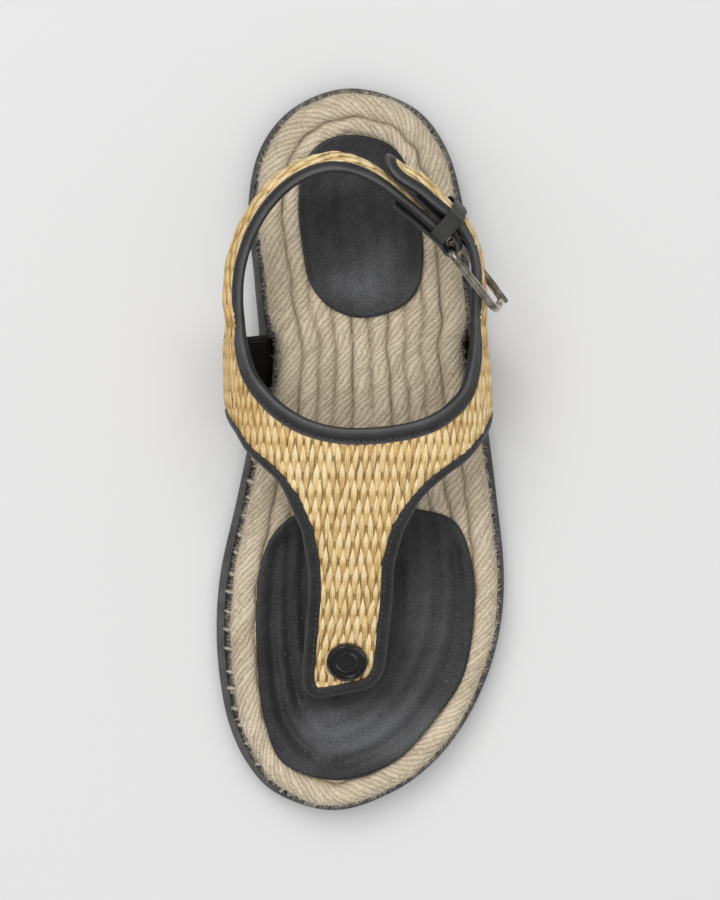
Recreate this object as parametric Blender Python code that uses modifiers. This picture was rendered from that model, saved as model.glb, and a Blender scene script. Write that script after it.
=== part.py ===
"""Open-toe flat sandal, left shoe: rope footbed on a rubber tray, woven T-strap upper, buckled heel strap.

Sizes are in millimetres and are turned into metres as each mesh is made. The toe points to -Y, the outer
side of the foot is +X and the floor is Z = 0.
"""

import math

import bmesh
import bpy
import mathutils
import numpy as np

MM = 0.001
UP = np.array([0.0, 0.0, 1.0])
GAP = 0.3
MERGE = 1e-6
CURVE_STEPS = 40

# Sole plan: both edges of the outsole at stations from heel to toe, with the two tips
SOLE_EDGES = (
    # y, medial x, lateral x
    (121.9, -23.8, 18.8),
    (108.5, -35.2, 29.9),
    (88.0, -39.9, 36.2),
    (60.0, -37.7, 39.3),
    (36.0, -36.1, 41.6),
    (10.0, -38.6, 45.2),
    (-17.0, -44.0, 48.7),
    (-44.0, -50.0, 51.4),
    (-62.0, -51.5, 50.4),
    (-80.0, -50.6, 45.9),
    (-98.0, -47.1, 37.2),
    (-112.0, -40.6, 25.9),
    (-122.0, -31.2, 12.0),
)
HEEL_TIP = (-4.0, 128.7)
TOE_TIP = (-9.8, -128.7)
SOLE_STATIONS = 64
OUTLINE_POINTS = 1200

# Sole side view: heights of the lip and of the rope crests, and how far the underside lifts
SOLE_HEIGHTS = (
    # y, lip z, footbed z
    (129.0, 13.5, 27.5),
    (100.0, 12.3, 26.3),
    (60.0, 11.8, 25.6),
    (20.0, 11.6, 25.0),
    (-20.0, 10.6, 23.6),
    (-60.0, 10.0, 22.6),
    (-95.0, 11.0, 23.6),
    (-129.0, 14.8, 27.2),
)
TOE_SPRING = 6.0
TOE_SPRING_FROM = -84.0
HEEL_LIFT = 2.0
HEEL_LIFT_FROM = 112.0
ARCH_LIFT = 2.4
ARCH_FRONT = -6.0
ARCH_BACK = 48.0
LIFT_POWER = 1.6

# Outsole section, from the foot bevel up to the lip and down into the sunk tray
TRAY_DEPTH = 2.5
FOOT_SECTION = (
    # inset from the outline, rise above the underside
    (2.4, 0.0),
    (0.48, 1.12),
    (0.0, 3.2),
)
LIP_SECTION = (
    # inset from the outline, drop below the lip
    (0.0, 1.0),
    (0.5, 0.0),
    (1.5, 0.0),
    (1.8, TRAY_DEPTH),
)
TREAD_PITCH = 11.0
TREAD_WIDTH = 3.4
TREAD_DEPTH = 2.0
TREAD_MARGIN = 9.0
TREAD_REACH = 1.0
TREAD_FOREFOOT = (-78.0, -22.0)
TREAD_HEEL = (62.0, 107.0)

# Rope footbed: welt left outside it on each side, pinch where the tabs enter, and its rope widths
WELT = (
    # y, medial width, lateral width
    (100.0, 2.7, 3.1),
    (65.0, 3.9, 3.9),
    (30.0, 4.0, 3.9),
    (-20.0, 4.4, 3.6),
    (-60.0, 5.1, 3.2),
    (-100.0, 4.8, 3.0),
)
WELT_TOE = 3.0
WELT_HEEL = 2.3
PINCH = 2.6
PINCH_AT = 26.0
PINCH_HALF = 23.0
PINCH_FLAT = 0.45
EDGE_ROPE = 8.3
ROPE_PITCH = 6.6
ROPE_RINGS = 4
ROPE_VALLEY = 1.5
ROPE_FOOT = (
    # inset from the rope's outline, rise above the tray
    (1.6, 0.0),
    (0.2, 2.6),
)
ROPE_EDGE = (
    # inset from the rope's outline, drop below the crests
    (0.0, 6.5),
    (0.6, 2.4),
    (2.2, 0.5),
    (4.15, 0.0),
    (6.225, 0.4),
)
PATH_POINTS = 121
DISH = 1.2
DISH_REACH = 30.0
SPINE_HEEL = (-2.0, 92.0)
SPINE_TOE = (-4.5, -78.0)

# Leather covers on the footbed, as outlines in plan
FOREFOOT_PAD = (
    (-21.4, -21.0), (-31.0, -28.0), (-36.2, -40.0), (-37.7, -56.0), (-37.2, -78.0), (-34.6, -96.0),
    (-28.0, -109.4), (-9.0, -115.4), (10.5, -109.4), (24.5, -96.5), (35.5, -80.5), (39.6, -58.0),
    (38.6, -38.0), (32.5, -24.6), (20.0, -20.4), (0.0, -18.5),
)
HEEL_PAD = (
    (-3.3, 111.7), (-13.5, 109.6), (-20.5, 102.0), (-22.7, 88.0), (-21.4, 73.0), (-18.6, 59.5),
    (-12.0, 51.3), (-1.8, 47.4), (9.5, 49.2), (18.2, 55.2), (21.2, 66.0), (20.2, 82.0),
    (16.6, 98.0), (10.0, 107.8),
)
PAD_STATIONS = 44
PAD_THICK = 1.6
PAD_SECTION = (
    # share of the outline, share of the thickness
    (0.0, 0.0),
    (0.5, 0.0),
    (0.99, 0.0),
    (1.0, 0.5),
    (0.965, 1.0),
    (0.6, 1.0),
    (0.0, 1.0),
)

# Last under the upper: crest, widest points on both sides and their height, at stations along the foot
LAST = (
    # y, crest x, crest z, medial x, lateral x, widest z
    (-90.0, -8.3, 39.5, -44.0, 40.0, 26.0),
    (-55.0, -6.3, 54.5, -45.0, 43.0, 31.0),
    (-30.0, -5.5, 65.0, -45.5, 44.0, 36.0),
    (-10.0, -5.0, 72.4, -45.6, 44.0, 39.0),
    (8.0, -4.5, 78.0, -47.2, 43.6, 41.0),
    (20.0, -4.2, 81.0, -48.2, 43.3, 42.0),
    (42.0, -3.8, 84.0, -48.5, 41.5, 42.0),
    (60.0, -3.5, 84.0, -48.5, 39.5, 42.0),
)
LAST_FULLNESS = 2.3
LAST_TUCK = 1.8
BASE_INSET = 4.1
BASE_DEPTH = 1.0
BASE_REACH = 1.5

# Ribs of the T panel, from the medial base over the instep to the lateral base. Girth counts 0 at the
# medial base, 1 at the widest point, 2 on the crest, 3 at the lateral widest point and 4 at its base.
RIBS = (
    # front girth, front y, rear girth, rear y
    (0.00, 12.5, 0.00, 40.0),
    (0.45, 13.6, 0.58, 39.4),
    (0.92, 14.4, 1.09, 42.0),
    (1.20, 10.0, 1.33, 42.0),
    (1.37, 2.6, 1.42, 29.6),
    (1.50, -2.3, 1.57, 20.3),
    (1.63, -8.6, 1.70, 14.6),
    (1.775, -25.5, 1.83, 11.0),
    (1.975, -25.7, 1.98, 9.2),
    (2.170, -26.0, 2.15, 10.2),
    (2.26, -13.4, 2.30, 12.8),
    (2.39, -5.6, 2.43, 17.4),
    (2.53, -0.6, 2.56, 25.0),
    (2.76, 7.8, 2.68, 42.0),
    (3.04, 14.2, 2.91, 42.0),
    (3.52, 13.4, 3.42, 39.4),
    (4.00, 12.5, 4.00, 40.0),
)
FRONT_CORNERS = (7, 9)
REAR_CORNERS = (2, 3, 13, 14)
HALF_COLUMNS = (0, 0.4, 1, 1.5, 2, 2.24, 2.5, 2.76, 3, 3.4, 4, 4.5, 5, 5.5, 6, 6.5, 7, 7.3, 7.65)
PANEL_ROWS = 6
PANEL_POINTS = 25
WALL = 2.0
LIP_FRONT = 3.3
LIP_TOP = 4.3
LIP_STRAP = 3.2

# Stem of the T, down to its slanted toe end
STEM = (
    # left x, left y, right x, right y
    (-19.5, -37.0, 7.9, -37.0),
    (-19.2, -48.0, 7.7, -48.0),
    (-19.9, -59.5, 6.8, -59.0),
    (-20.6, -71.0, 6.0, -69.5),
    (-20.9, -77.6, 5.3, -75.0),
    (-20.0, -82.3, 3.6, -78.4),
    (-17.5, -84.6, 1.0, -80.8),
)
STEM_ROWS = 13

# Straps: path of the upper edge, leaning in at the top and upright at the lower edge
HEEL_STRAP = (
    # x, y, z of the upper edge
    (-44.2, 52.0, 66.0),
    (-43.9, 62.0, 67.5),
    (-42.0, 70.5, 69.2),
    (-38.5, 79.0, 71.8),
    (-32.8, 87.4, 74.5),
    (-25.6, 93.9, 76.7),
    (-18.5, 97.4, 78.0),
    (-11.0, 98.5, 78.5),
    (-3.5, 96.8, 78.2),
    (3.6, 93.0, 77.2),
    (10.0, 88.2, 75.8),
    (16.6, 83.0, 74.0),
    (25.9, 75.0, 71.7),
)
BUCKLE_STRAP = (
    # x, y, z of the upper edge
    (36.6, 52.0, 65.6),
    (36.6, 60.0, 67.0),
    (36.3, 66.0, 68.3),
    (34.8, 72.0, 69.8),
    (32.0, 77.5, 71.2),
    (28.6, 82.4, 72.5),
    (24.5, 86.8, 74.0),
    (20.0, 90.4, 75.2),
    (15.4, 94.0, 76.4),
    (11.3, 97.2, 77.4),
    (8.5, 100.6, 78.3),
)
STRAP_WIDTH = 13.4
STRAP_LEAN_TOP = math.radians(30.0)
STRAP_LEAN_LOW = math.radians(-4.0)
STRAP_ROWS = 17
STRAP_POINTS = 21
TIP_LENGTH = 6.0
TIP_SHARE = 0.45
TIP_SHOULDER = 0.841

# Folded leather bindings round the edges of the upper
BIND_OUT = 1.3
BIND_HALF = 2.0
BIND_FOLD = 0.9
BIND_LIP = 4.6
BIND_EASE = 0.45

# Stud on the stem and post under it
STUD_AT = (-6.7, -71.0)
STUD_PROFILE = (
    # radius, height
    (0.0, 0.0),
    (6.8, 0.0),
    (7.2, 0.5),
    (7.2, 1.8),
    (6.7, 2.6),
    (6.0, 2.6),
    (5.5, 1.8),
    (0.0, 2.04),
)
TURN_STEPS = 24
POST_SECTION = (
    # radius, distance from the end
    (0.0, 0.0),
    (5.0, 0.0),
    (5.0, 0.8),
    (3.2, 2.0),
)

# Buckle: wire frame standing between the two straps
FRAME_AT = np.array([37.4, 62.4, 60.9])
FRAME_ALONG = np.array([0.613, -0.790, 0.0])
FRAME_LEAN = math.radians(15.0)
FRAME_LENGTH = 25.6
FRAME_HEIGHT = 21.6
FRAME_CORNER = 4.0
CORNER_STEPS = 5
WIRE_RADIUS = 1.4
WIRE_ROUNDING = 2
PRONG_RADIUS = 1.0
PRONG_TURN = 1.55 * math.pi
PRONG_STEPS = 11
PRONG_HOLE = 1.7
HOLE_SIDES = 12
HOLE_DEPTH = 14.0
HOLE_ALONG = -2.0
TAB_THICK = 1.2
TAB_STOPS = (21.0, 13.86, 6.93, 2.0)
TAB_SLOT = 5.2
TAB_SLOT_ROOM = 1.7
TAB_WRAP = 0.9 * math.pi
TAB_STEPS = 6
TAB_STATIONS = 17
KEEPER_BACK = 3.9
KEEPER_WIDTH = 7.0
KEEPER_THICK = 1.1
KEEPER_ROOM = 1.0
KEEPER_CORNER = 0.14
KEEPER_POINTS = 61


def unit(vector):
    return vector / np.linalg.norm(vector)


def eased(keys, values, at):
    """Values at the given keys, eased through a short table."""
    keys = np.asarray(keys, float)
    values = np.asarray(values, float)
    at = np.atleast_1d(np.asarray(at, float))
    slopes = np.gradient(values, keys, axis=0)
    left = np.clip(np.searchsorted(keys, at, side="right") - 1, 0, len(keys) - 2)
    width = keys[left + 1] - keys[left]
    t = np.clip((at - keys[left]) / width, 0.0, 1.0)
    if values.ndim > 1:
        t, width = t[:, None], width[:, None]
    start = (1 + 2 * t) * (1 - t) ** 2 * values[left] + t * (1 - t) ** 2 * width * slopes[left]
    end = t * t * (3 - 2 * t) * values[left + 1] + t * t * (t - 1) * width * slopes[left + 1]
    return start + end


def table_at(table, station):
    """Row of a table, without its first column, at one station."""
    rows = np.array(sorted(table), float)
    return eased(rows[:, 0], rows[:, 1:], station)[0]


def spaced(points, count):
    """The smooth curve through points, cut into equal lengths."""
    points = np.asarray(points, float)
    chords = np.linalg.norm(np.diff(points, axis=0), axis=1)
    keys = np.concatenate([[0.0], np.cumsum(np.sqrt(chords))])
    fine = eased(keys, points, np.linspace(0.0, keys[-1], CURVE_STEPS * len(points)))
    length = np.concatenate([[0.0], np.cumsum(np.linalg.norm(np.diff(fine, axis=0), axis=1))])
    wanted = np.linspace(0.0, length[-1], count)
    return np.stack([np.interp(wanted, length, column) for column in fine.T], axis=1)


def spaced_loop(points, count):
    """The smooth closed curve through points, cut into equal lengths."""
    points = [tuple(p) for p in points]
    turns = len(points)
    doubled = np.array(points[-3:] + points + points[:4], float)
    chords = np.linalg.norm(np.diff(doubled, axis=0), axis=1)
    keys = np.concatenate([[0.0], np.cumsum(np.sqrt(chords))])
    fine = eased(keys, doubled, np.linspace(keys[3], keys[3 + turns], CURVE_STEPS * turns))
    length = np.concatenate([[0.0], np.cumsum(np.linalg.norm(np.diff(fine, axis=0), axis=1))])
    wanted = np.linspace(0.0, length[-1], count, endpoint=False)
    return np.stack([np.interp(wanted, length, column) for column in fine.T], axis=1)


def outward(loop):
    """Outward normals of a plan loop that runs from the heel down the lateral side."""
    along = np.roll(loop, -1, axis=0) - np.roll(loop, 1, axis=0)
    normal = np.stack([-along[:, 1], along[:, 0]], axis=1)
    return normal / np.linalg.norm(normal, axis=1)[:, None]


def smooth_step(low, high, value):
    t = np.clip((value - low) / (high - low), 0.0, 1.0)
    return t * t * (3.0 - 2.0 * t)


def make_object(name, points, faces, look, closed=True):
    mesh = bpy.data.meshes.new(name)
    mesh.from_pydata([tuple(p) for p in np.asarray(points) * MM], [], faces)
    shape = bmesh.new()
    shape.from_mesh(mesh)
    bmesh.ops.remove_doubles(shape, verts=shape.verts, dist=MERGE)
    if closed:
        bmesh.ops.recalc_face_normals(shape, faces=shape.faces)
    shape.to_mesh(mesh)
    shape.free()
    obj = bpy.data.objects.new(name, mesh)
    PARTS.objects.link(obj)
    mesh.materials.append(LOOKS[look])
    return obj


def skin(rings):
    """Points and faces of a loft through closed rings of equal count."""
    count = len(rings[0])
    faces = []
    for row in range(len(rings) - 1):
        for k in range(count):
            after = (k + 1) % count
            low = row * count
            faces.append((low + k, low + after, low + count + after, low + count + k))
    return np.concatenate(rings), faces


def sheet(rows):
    """Points and faces of a grid given as rows of points."""
    rows = np.asarray(rows)
    down, across = rows.shape[:2]
    faces = []
    for i in range(down - 1):
        for j in range(across - 1):
            corner = i * across + j
            faces.append((corner, corner + 1, corner + across + 1, corner + across))
    return rows.reshape(-1, 3), faces


def modifier(obj, kind, **settings):
    made = obj.modifiers.new(kind.title(), kind)
    for key, value in settings.items():
        setattr(made, key, value)
    return made


def cutter(obj):
    for owner in list(obj.users_collection):
        owner.objects.unlink(obj)
    CUTTERS.objects.link(obj)
    obj.hide_render = True
    obj.display_type = "WIRE"
    return obj


def cut(obj, tool):
    modifier(obj, "BOOLEAN", operation="DIFFERENCE", solver="EXACT", object=tool)


# Scene and looks
for stray in list(bpy.data.objects):
    bpy.data.objects.remove(stray, do_unlink=True)
PARTS = bpy.data.collections.new("open_toe_flat_sandal")
CUTTERS = bpy.data.collections.new("cutters")
bpy.context.scene.collection.children.link(PARTS)
bpy.context.scene.collection.children.link(CUTTERS)
LOOK_TABLE = (
    # slot, red, green, blue, roughness, metallic
    ("outsole_rubber", 0.020, 0.020, 0.021, 0.80, 0.0),
    ("jute_rope", 0.520, 0.390, 0.240, 0.90, 0.0),
    ("pad_leather", 0.024, 0.023, 0.024, 0.50, 0.0),
    ("raffia_weave", 0.560, 0.360, 0.130, 0.60, 0.0),
    ("binding_leather", 0.020, 0.019, 0.020, 0.50, 0.0),
    ("stud_leather", 0.018, 0.018, 0.018, 0.45, 0.0),
    ("buckle_metal", 0.420, 0.390, 0.330, 0.35, 1.0),
    ("tab_leather", 0.026, 0.024, 0.023, 0.55, 0.0),
)
LOOKS = {}
for slot, red, green, blue, rough, metal in LOOK_TABLE:
    material = bpy.data.materials.new(slot)
    material.use_nodes = True
    shader = material.node_tree.nodes["Principled BSDF"]
    shader.inputs["Base Color"].default_value = (red, green, blue, 1.0)
    shader.inputs["Roughness"].default_value = rough
    shader.inputs["Metallic"].default_value = metal
    LOOKS[slot] = material

# Sole plan: two halves from heel tip to toe tip, so that opposite stations share a spine point
lateral_side = [HEEL_TIP] + [(right, y) for y, left, right in SOLE_EDGES] + [TOE_TIP]
medial_side = [(left, y) for y, left, right in reversed(SOLE_EDGES)]
whole = spaced_loop(lateral_side + medial_side, OUTLINE_POINTS)
heel_index = int(np.argmax(whole[:, 1]))
whole = np.roll(whole, -heel_index, axis=0)
toe_index = int(np.argmin(whole[:, 1]))
half = SOLE_STATIONS // 2
picks = np.concatenate([
    np.linspace(0, toe_index, half, endpoint=False),
    np.linspace(toe_index, len(whole), half, endpoint=False),
]).round().astype(int)
outline_normals = outward(whole)[picks]
outline = whole[picks]


def spine_of(loop):
    """The point of the sole's spine that each station of a loop faces."""
    partner = loop[(-np.arange(len(loop))) % len(loop)]
    middle = (loop + partner) / 2.0
    middle[middle[:, 1] < SPINE_TOE[1]] = SPINE_TOE
    middle[middle[:, 1] > SPINE_HEEL[1]] = SPINE_HEEL
    return middle


def edge_distance(points, loop):
    """Distance of plan points from a closed polyline."""
    start, step = loop, np.roll(loop, -1, axis=0) - loop
    offset = points[:, None, :] - start[None, :, :]
    share = np.clip((offset * step).sum(2) / (step * step).sum(1), 0.0, 1.0)
    nearest = offset - share[:, :, None] * step
    return np.sqrt((nearest ** 2).sum(2)).min(1)


def underside(y):
    toe = np.clip((TOE_SPRING_FROM - y) / (TOE_SPRING_FROM - TOE_TIP[1]), 0.0, 1.0)
    heel = np.clip((y - HEEL_LIFT_FROM) / (HEEL_TIP[1] - HEEL_LIFT_FROM), 0.0, 1.0)
    arch = np.clip((y - ARCH_FRONT) / (ARCH_BACK - ARCH_FRONT), 0.0, 1.0)
    ends = TOE_SPRING * toe ** LIFT_POWER + HEEL_LIFT * heel ** LIFT_POWER
    return ends + ARCH_LIFT * np.sin(math.pi * arch) ** 2


def lip_height(y):
    rows = np.array(sorted(SOLE_HEIGHTS))
    return eased(rows[:, 0], rows[:, 1], y)


def bed_height(points):
    """Height of the rope crests, slightly dished towards the middle."""
    rows = np.array(sorted(SOLE_HEIGHTS))
    inset = edge_distance(points, rope_outline)
    return eased(rows[:, 0], rows[:, 2], points[:, 1]) - DISH * smooth_step(0.0, DISH_REACH, inset)


def raised(plan, heights):
    return np.column_stack([plan, np.broadcast_to(heights, len(plan))])


# Outsole: a tray with a bevelled foot, a low lip and a sunk floor
def sole_ring(inset, height, rise):
    plan = outline - outline_normals * inset
    return raised(plan, height(plan[:, 1]) + rise)


sole_spine = spine_of(outline)
outsole_rings = [raised(sole_spine, underside(sole_spine[:, 1]))]
outsole_rings += [sole_ring(inset, underside, rise) for inset, rise in FOOT_SECTION]
outsole_rings += [sole_ring(inset, lip_height, -drop) for inset, drop in LIP_SECTION]
outsole_rings.append(raised(sole_spine, lip_height(sole_spine[:, 1]) - TRAY_DEPTH))
outsole = make_object("outsole", *skin(outsole_rings), "outsole_rubber")

# Tread: sunk slots across the two flat treads
for first, last in (TREAD_FOREFOOT, TREAD_HEEL):
    slots = int(round((last - first) / TREAD_PITCH))
    for slot_y in np.linspace(first, last, slots + 1):
        near = np.abs(whole[:, 1] - slot_y) < TREAD_REACH
        left_x = whole[near, 0].min() + TREAD_MARGIN
        right_x = whole[near, 0].max() - TREAD_MARGIN
        bpy.ops.mesh.primitive_cube_add(size=1.0)
        tread_tool = bpy.context.object
        tread_tool.name = f"tread_slot_{int(slot_y)}"
        tread_tool.location = np.array([(left_x + right_x) / 2, slot_y, 0.0]) * MM
        tread_tool.scale = np.array([right_x - left_x, TREAD_WIDTH, 2 * TREAD_DEPTH]) * MM
        cutter(tread_tool)
        cut(outsole, tread_tool)

# Rope footbed: concentric ropes inside the welt, pinched where the tabs of the upper enter
side_share = outline_normals ** 2
side_welts = np.array([table_at(WELT, y) for y in outline[:, 1]])
welt_x = np.where(outline_normals[:, 0] < 0, side_welts[:, 0], side_welts[:, 1])
welt_y = np.where(outline_normals[:, 1] < 0, WELT_TOE, WELT_HEEL)
pinch = PINCH * (1.0 - smooth_step(PINCH_HALF * PINCH_FLAT, PINCH_HALF, np.abs(outline[:, 1] - PINCH_AT)))
welt = side_share[:, 0] * welt_x + side_share[:, 1] * welt_y + pinch
rope_outline = outline - outline_normals * welt[:, None]
rope_spine = spine_of(rope_outline)
path_shares = np.linspace(0.0, 1.0, PATH_POINTS)
rope_paths = rope_outline[:, None] + path_shares[None, :, None] * (rope_spine - rope_outline)[:, None]
path_insets = edge_distance(rope_paths.reshape(-1, 2), rope_outline).reshape(rope_paths.shape[:2])


def rope_plan(inset):
    """Ring of the rope coil at one inset, walked in from each edge station towards the spine."""
    plan = []
    for path, insets in zip(rope_paths, np.maximum.accumulate(path_insets, axis=1)):
        share = np.interp(inset, insets, path_shares)
        plan.append(path[0] + share * (path[-1] - path[0]))
    return np.array(plan)


def rope_ring(inset, drop):
    plan = rope_plan(inset)
    return raised(plan, bed_height(plan) - drop)


def rope_floor_ring(inset, rise):
    plan = rope_plan(inset)
    return raised(plan, lip_height(plan[:, 1]) - TRAY_DEPTH + GAP + rise)


rope_rings = [raised(rope_spine, lip_height(rope_spine[:, 1]) - TRAY_DEPTH + GAP)]
rope_rings += [rope_floor_ring(inset, rise) for inset, rise in ROPE_FOOT]
rope_rings += [rope_ring(inset, drop) for inset, drop in ROPE_EDGE]
for turn in range(ROPE_RINGS):
    valley = EDGE_ROPE + turn * ROPE_PITCH
    rope_rings.append(rope_ring(valley, ROPE_VALLEY))
    rope_rings.append(rope_ring(valley + ROPE_PITCH / 2, 0.0))
rope_rings.append(raised(rope_spine, bed_height(rope_spine) - ROPE_VALLEY))
make_object("rope_footbed", *skin(rope_rings), "jute_rope")


# Leather covers, following the crests of the ropes
def make_pad(name, corners):
    edge = spaced_loop(corners, PAD_STATIONS)
    middle = edge.mean(axis=0)
    rings = []
    for share, rise in PAD_SECTION:
        plan = middle + (edge - middle) * share
        rings.append(raised(plan, bed_height(plan) + GAP + PAD_THICK * rise))
    make_object(name, *skin(rings), "pad_leather")


make_pad("forefoot_pad", FOREFOOT_PAD)
make_pad("heel_pad", HEEL_PAD)


# Last surface that the T panel lies on
def base_point(y, side):
    """Where the upper enters the welt, on the medial (-1) or lateral (+1) side."""
    chosen = (np.abs(whole[:, 1] - y) < BASE_REACH) & (np.sign(whole[:, 0]) == side)
    x = whole[chosen, 0].mean() - side * BASE_INSET
    return np.array([x, y, lip_height(y)[0] - BASE_DEPTH])


def last_point(girth, y):
    crest_x, crest_z, medial_x, lateral_x, wide_z = table_at(LAST, y)
    side = -1 if girth < 2.0 else 1
    share = girth if girth < 2.0 else 4.0 - girth
    wide_x = medial_x if side < 0 else lateral_x
    if share < 1.0:
        base = base_point(y, side)
        below = 1.0 - share
        x = wide_x + (base[0] - wide_x) * below ** LAST_TUCK
        return np.array([x, y, wide_z + (base[2] - wide_z) * below])
    angle = (share - 1.0) * math.pi / 2.0
    power = 2.0 / LAST_FULLNESS
    x = crest_x + (wide_x - crest_x) * max(math.cos(angle), 0.0) ** power
    return np.array([x, y, wide_z + (crest_z - wide_z) * math.sin(angle) ** power])


def crest_drop(x, y):
    """Point of the last straight above a plan point."""
    crest_x, crest_z, medial_x, lateral_x, wide_z = table_at(LAST, y)
    wide_x = medial_x if x < crest_x else lateral_x
    share = min(abs((x - crest_x) / (wide_x - crest_x)), 1.0)
    height = (1.0 - share ** LAST_FULLNESS) ** (1.0 / LAST_FULLNESS)
    return np.array([x, y, wide_z + (crest_z - wide_z) * height])


def rib_edge(position, columns, corners):
    """Girth and y of a panel edge at a rib position, with corners kept sharp."""
    stops = [0, *corners, len(RIBS) - 1]
    for first, last in zip(stops, stops[1:]):
        if position <= last:
            rows = np.array(RIBS)[first:last + 1, columns]
            if len(rows) == 2:
                return rows[0] + (rows[1] - rows[0]) * (position - first)
            return eased(np.arange(first, last + 1), rows, position)[0]


def panel_column(position):
    """Points of one column of the T panel, from its front edge to its rear edge."""
    front = rib_edge(position, slice(0, 2), FRONT_CORNERS)
    rear = rib_edge(position, slice(2, 4), REAR_CORNERS)
    fine = np.array([last_point(*(front + (rear - front) * t)) for t in np.linspace(0, 1, PANEL_POINTS)])
    length = np.concatenate([[0.0], np.cumsum(np.linalg.norm(np.diff(fine, axis=0), axis=1))])
    between = np.linspace(LIP_FRONT, length[-1] - LIP_TOP, PANEL_ROWS - 1)
    wanted = np.concatenate([[0.0], between, [length[-1]]])
    return np.stack([np.interp(wanted, length, column) for column in fine.T], axis=1)


COLUMNS = list(HALF_COLUMNS) + [8] + [16 - p for p in reversed(HALF_COLUMNS)]
panel = np.array([panel_column(p) for p in COLUMNS]).transpose(1, 0, 2)
stem_from, stem_to = COLUMNS.index(7), COLUMNS.index(9)


# Stem: rows between its two edges, starting on the panel's front row
def stem_grid():
    top = panel[0, stem_from:stem_to + 1]
    inside = panel[1, stem_from:stem_to + 1]
    width = top[-1, 0] - top[0, 0]
    shares = (top[:, 0] - top[0, 0]) / width
    shares[1], shares[-2] = LIP_FRONT / width, 1.0 - LIP_FRONT / width
    rows = []
    for left_x, left_y, right_x, right_y in STEM:
        plan = [(left_x + (right_x - left_x) * s, left_y + (right_y - left_y) * s) for s in shares]
        rows.append([crest_drop(x, y) for x, y in plan])
    lines = []
    for k in range(len(top)):
        through = np.array([inside[k], top[k]] + [row[k] for row in rows])
        chords = np.linalg.norm(np.diff(through, axis=0), axis=1)
        keys = np.concatenate([[0.0], np.cumsum(chords)])
        steps = np.linspace(keys[1], keys[-1] - LIP_FRONT, STEM_ROWS)
        lines.append(eased(keys, through, np.append(steps, keys[-1])))
    grid = np.array(lines).transpose(1, 0, 2)
    grid[0] = top
    return grid


# Straps: lines that leave the panel's rear row and follow the path of the upper edge
def strap_section(depth):
    """Outward and downward run of the strap's section at a depth below its upper edge."""
    steps = np.linspace(0.0, depth, STRAP_POINTS)
    lean = STRAP_LEAN_TOP + (STRAP_LEAN_LOW - STRAP_LEAN_TOP) * steps / STRAP_WIDTH
    return np.trapz(np.sin(lean), steps), np.trapz(np.cos(lean), steps)


def strap_frames(path, side):
    """Outward and downward directions at each row of a strap path."""
    path = np.asarray(path, float)
    ahead = np.gradient(path, axis=0)
    frames = []
    for step in ahead:
        level = unit(np.array([step[0], step[1], 0.0]))
        out = side * np.array([level[1], -level[0], 0.0])
        along = unit(step)
        frames.append((out, unit(UP.dot(along) * along - UP)))
    return path, frames


STRAP_DEPTHS = (0.0, LIP_STRAP, STRAP_WIDTH / 2, STRAP_WIDTH - LIP_STRAP, STRAP_WIDTH)


def strap_grid(table, side, first, last, rounded):
    path, frames = strap_frames(table, side)
    columns = range(first, last + 1) if side > 0 else range(last, first - 1, -1)
    lines = []
    for depth, column in zip(STRAP_DEPTHS, columns):
        out_run, down_run = strap_section(depth)
        stations = [p + out * out_run + down * down_run for p, (out, down) in zip(path, frames)]
        through = np.array([panel[-2, column], panel[-1, column]] + stations)
        chords = np.linalg.norm(np.diff(through, axis=0), axis=1)
        keys = np.concatenate([[0.0], np.cumsum(chords)])
        steps = np.linspace(keys[1], keys[-1] - LIP_STRAP, STRAP_ROWS)
        if rounded:
            steps = np.linspace(keys[1], keys[-1] - TIP_LENGTH, STRAP_ROWS - 1)
            steps = np.append(steps, keys[-1] - TIP_LENGTH / 2)
        lines.append(eased(keys, through, np.append(steps, keys[-1])))
    grid = np.array(lines).transpose(1, 0, 2)
    grid[0] = [panel[-1, column] for column in columns]
    if rounded:
        for row, share in ((-1, TIP_SHARE), (-2, TIP_SHOULDER)):
            grid[row] = grid[row, 2] + (grid[row] - grid[row, 2]) * share
    return grid


heel_grid = strap_grid(HEEL_STRAP, -1, COLUMNS.index(2), COLUMNS.index(3), False)
buckle_grid = strap_grid(BUCKLE_STRAP, 1, COLUMNS.index(13), COLUMNS.index(14), True)
patches = (panel, stem_grid(), heel_grid, buckle_grid)
upper_points, upper_faces = [], []
for patch in patches:
    patch_points, patch_faces = sheet(patch)
    upper_faces += [tuple(len(upper_points) + corner for corner in face) for face in patch_faces]
    upper_points += list(patch_points)
upper = make_object("upper", upper_points, upper_faces, "raffia_weave")


# Bindings: folded strips that wrap the free edges of the panel, station by station
def edge_walk(mesh, start, end, through):
    """Edge vertices from start to end through a third one, each with the inner vertex that it faces."""
    shape = bmesh.new()
    shape.from_mesh(mesh)
    rim = [v for v in shape.verts if v.is_boundary]

    def nearest(point):
        return min(rim, key=lambda v: np.linalg.norm(np.array(v.co) - point * MM))

    start, end, through = nearest(start), nearest(end), nearest(through)
    for edge in [e for e in start.link_edges if e.is_boundary]:
        walk, vert = [start], start
        while vert != end:
            vert = edge.other_vert(vert)
            walk.append(vert)
            edge = next(e for e in vert.link_edges if e.is_boundary and e != edge)
        if through in walk:
            break
    stations = []
    for vert in walk:
        inner = [e.other_vert(vert) for e in vert.link_edges if not e.is_boundary]
        if not inner:
            near = [e.other_vert(vert) for e in vert.link_edges]
            inner = [v for v in vert.link_faces[0].verts if v != vert and v not in near]
        middle = np.mean([v.co for v in inner], axis=0)
        inner_normal = unit(np.sum([v.normal for v in inner], axis=0))
        stations.append((np.array(vert.co), np.array(vert.normal), middle, inner_normal))
    shape.free()
    return stations


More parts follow.
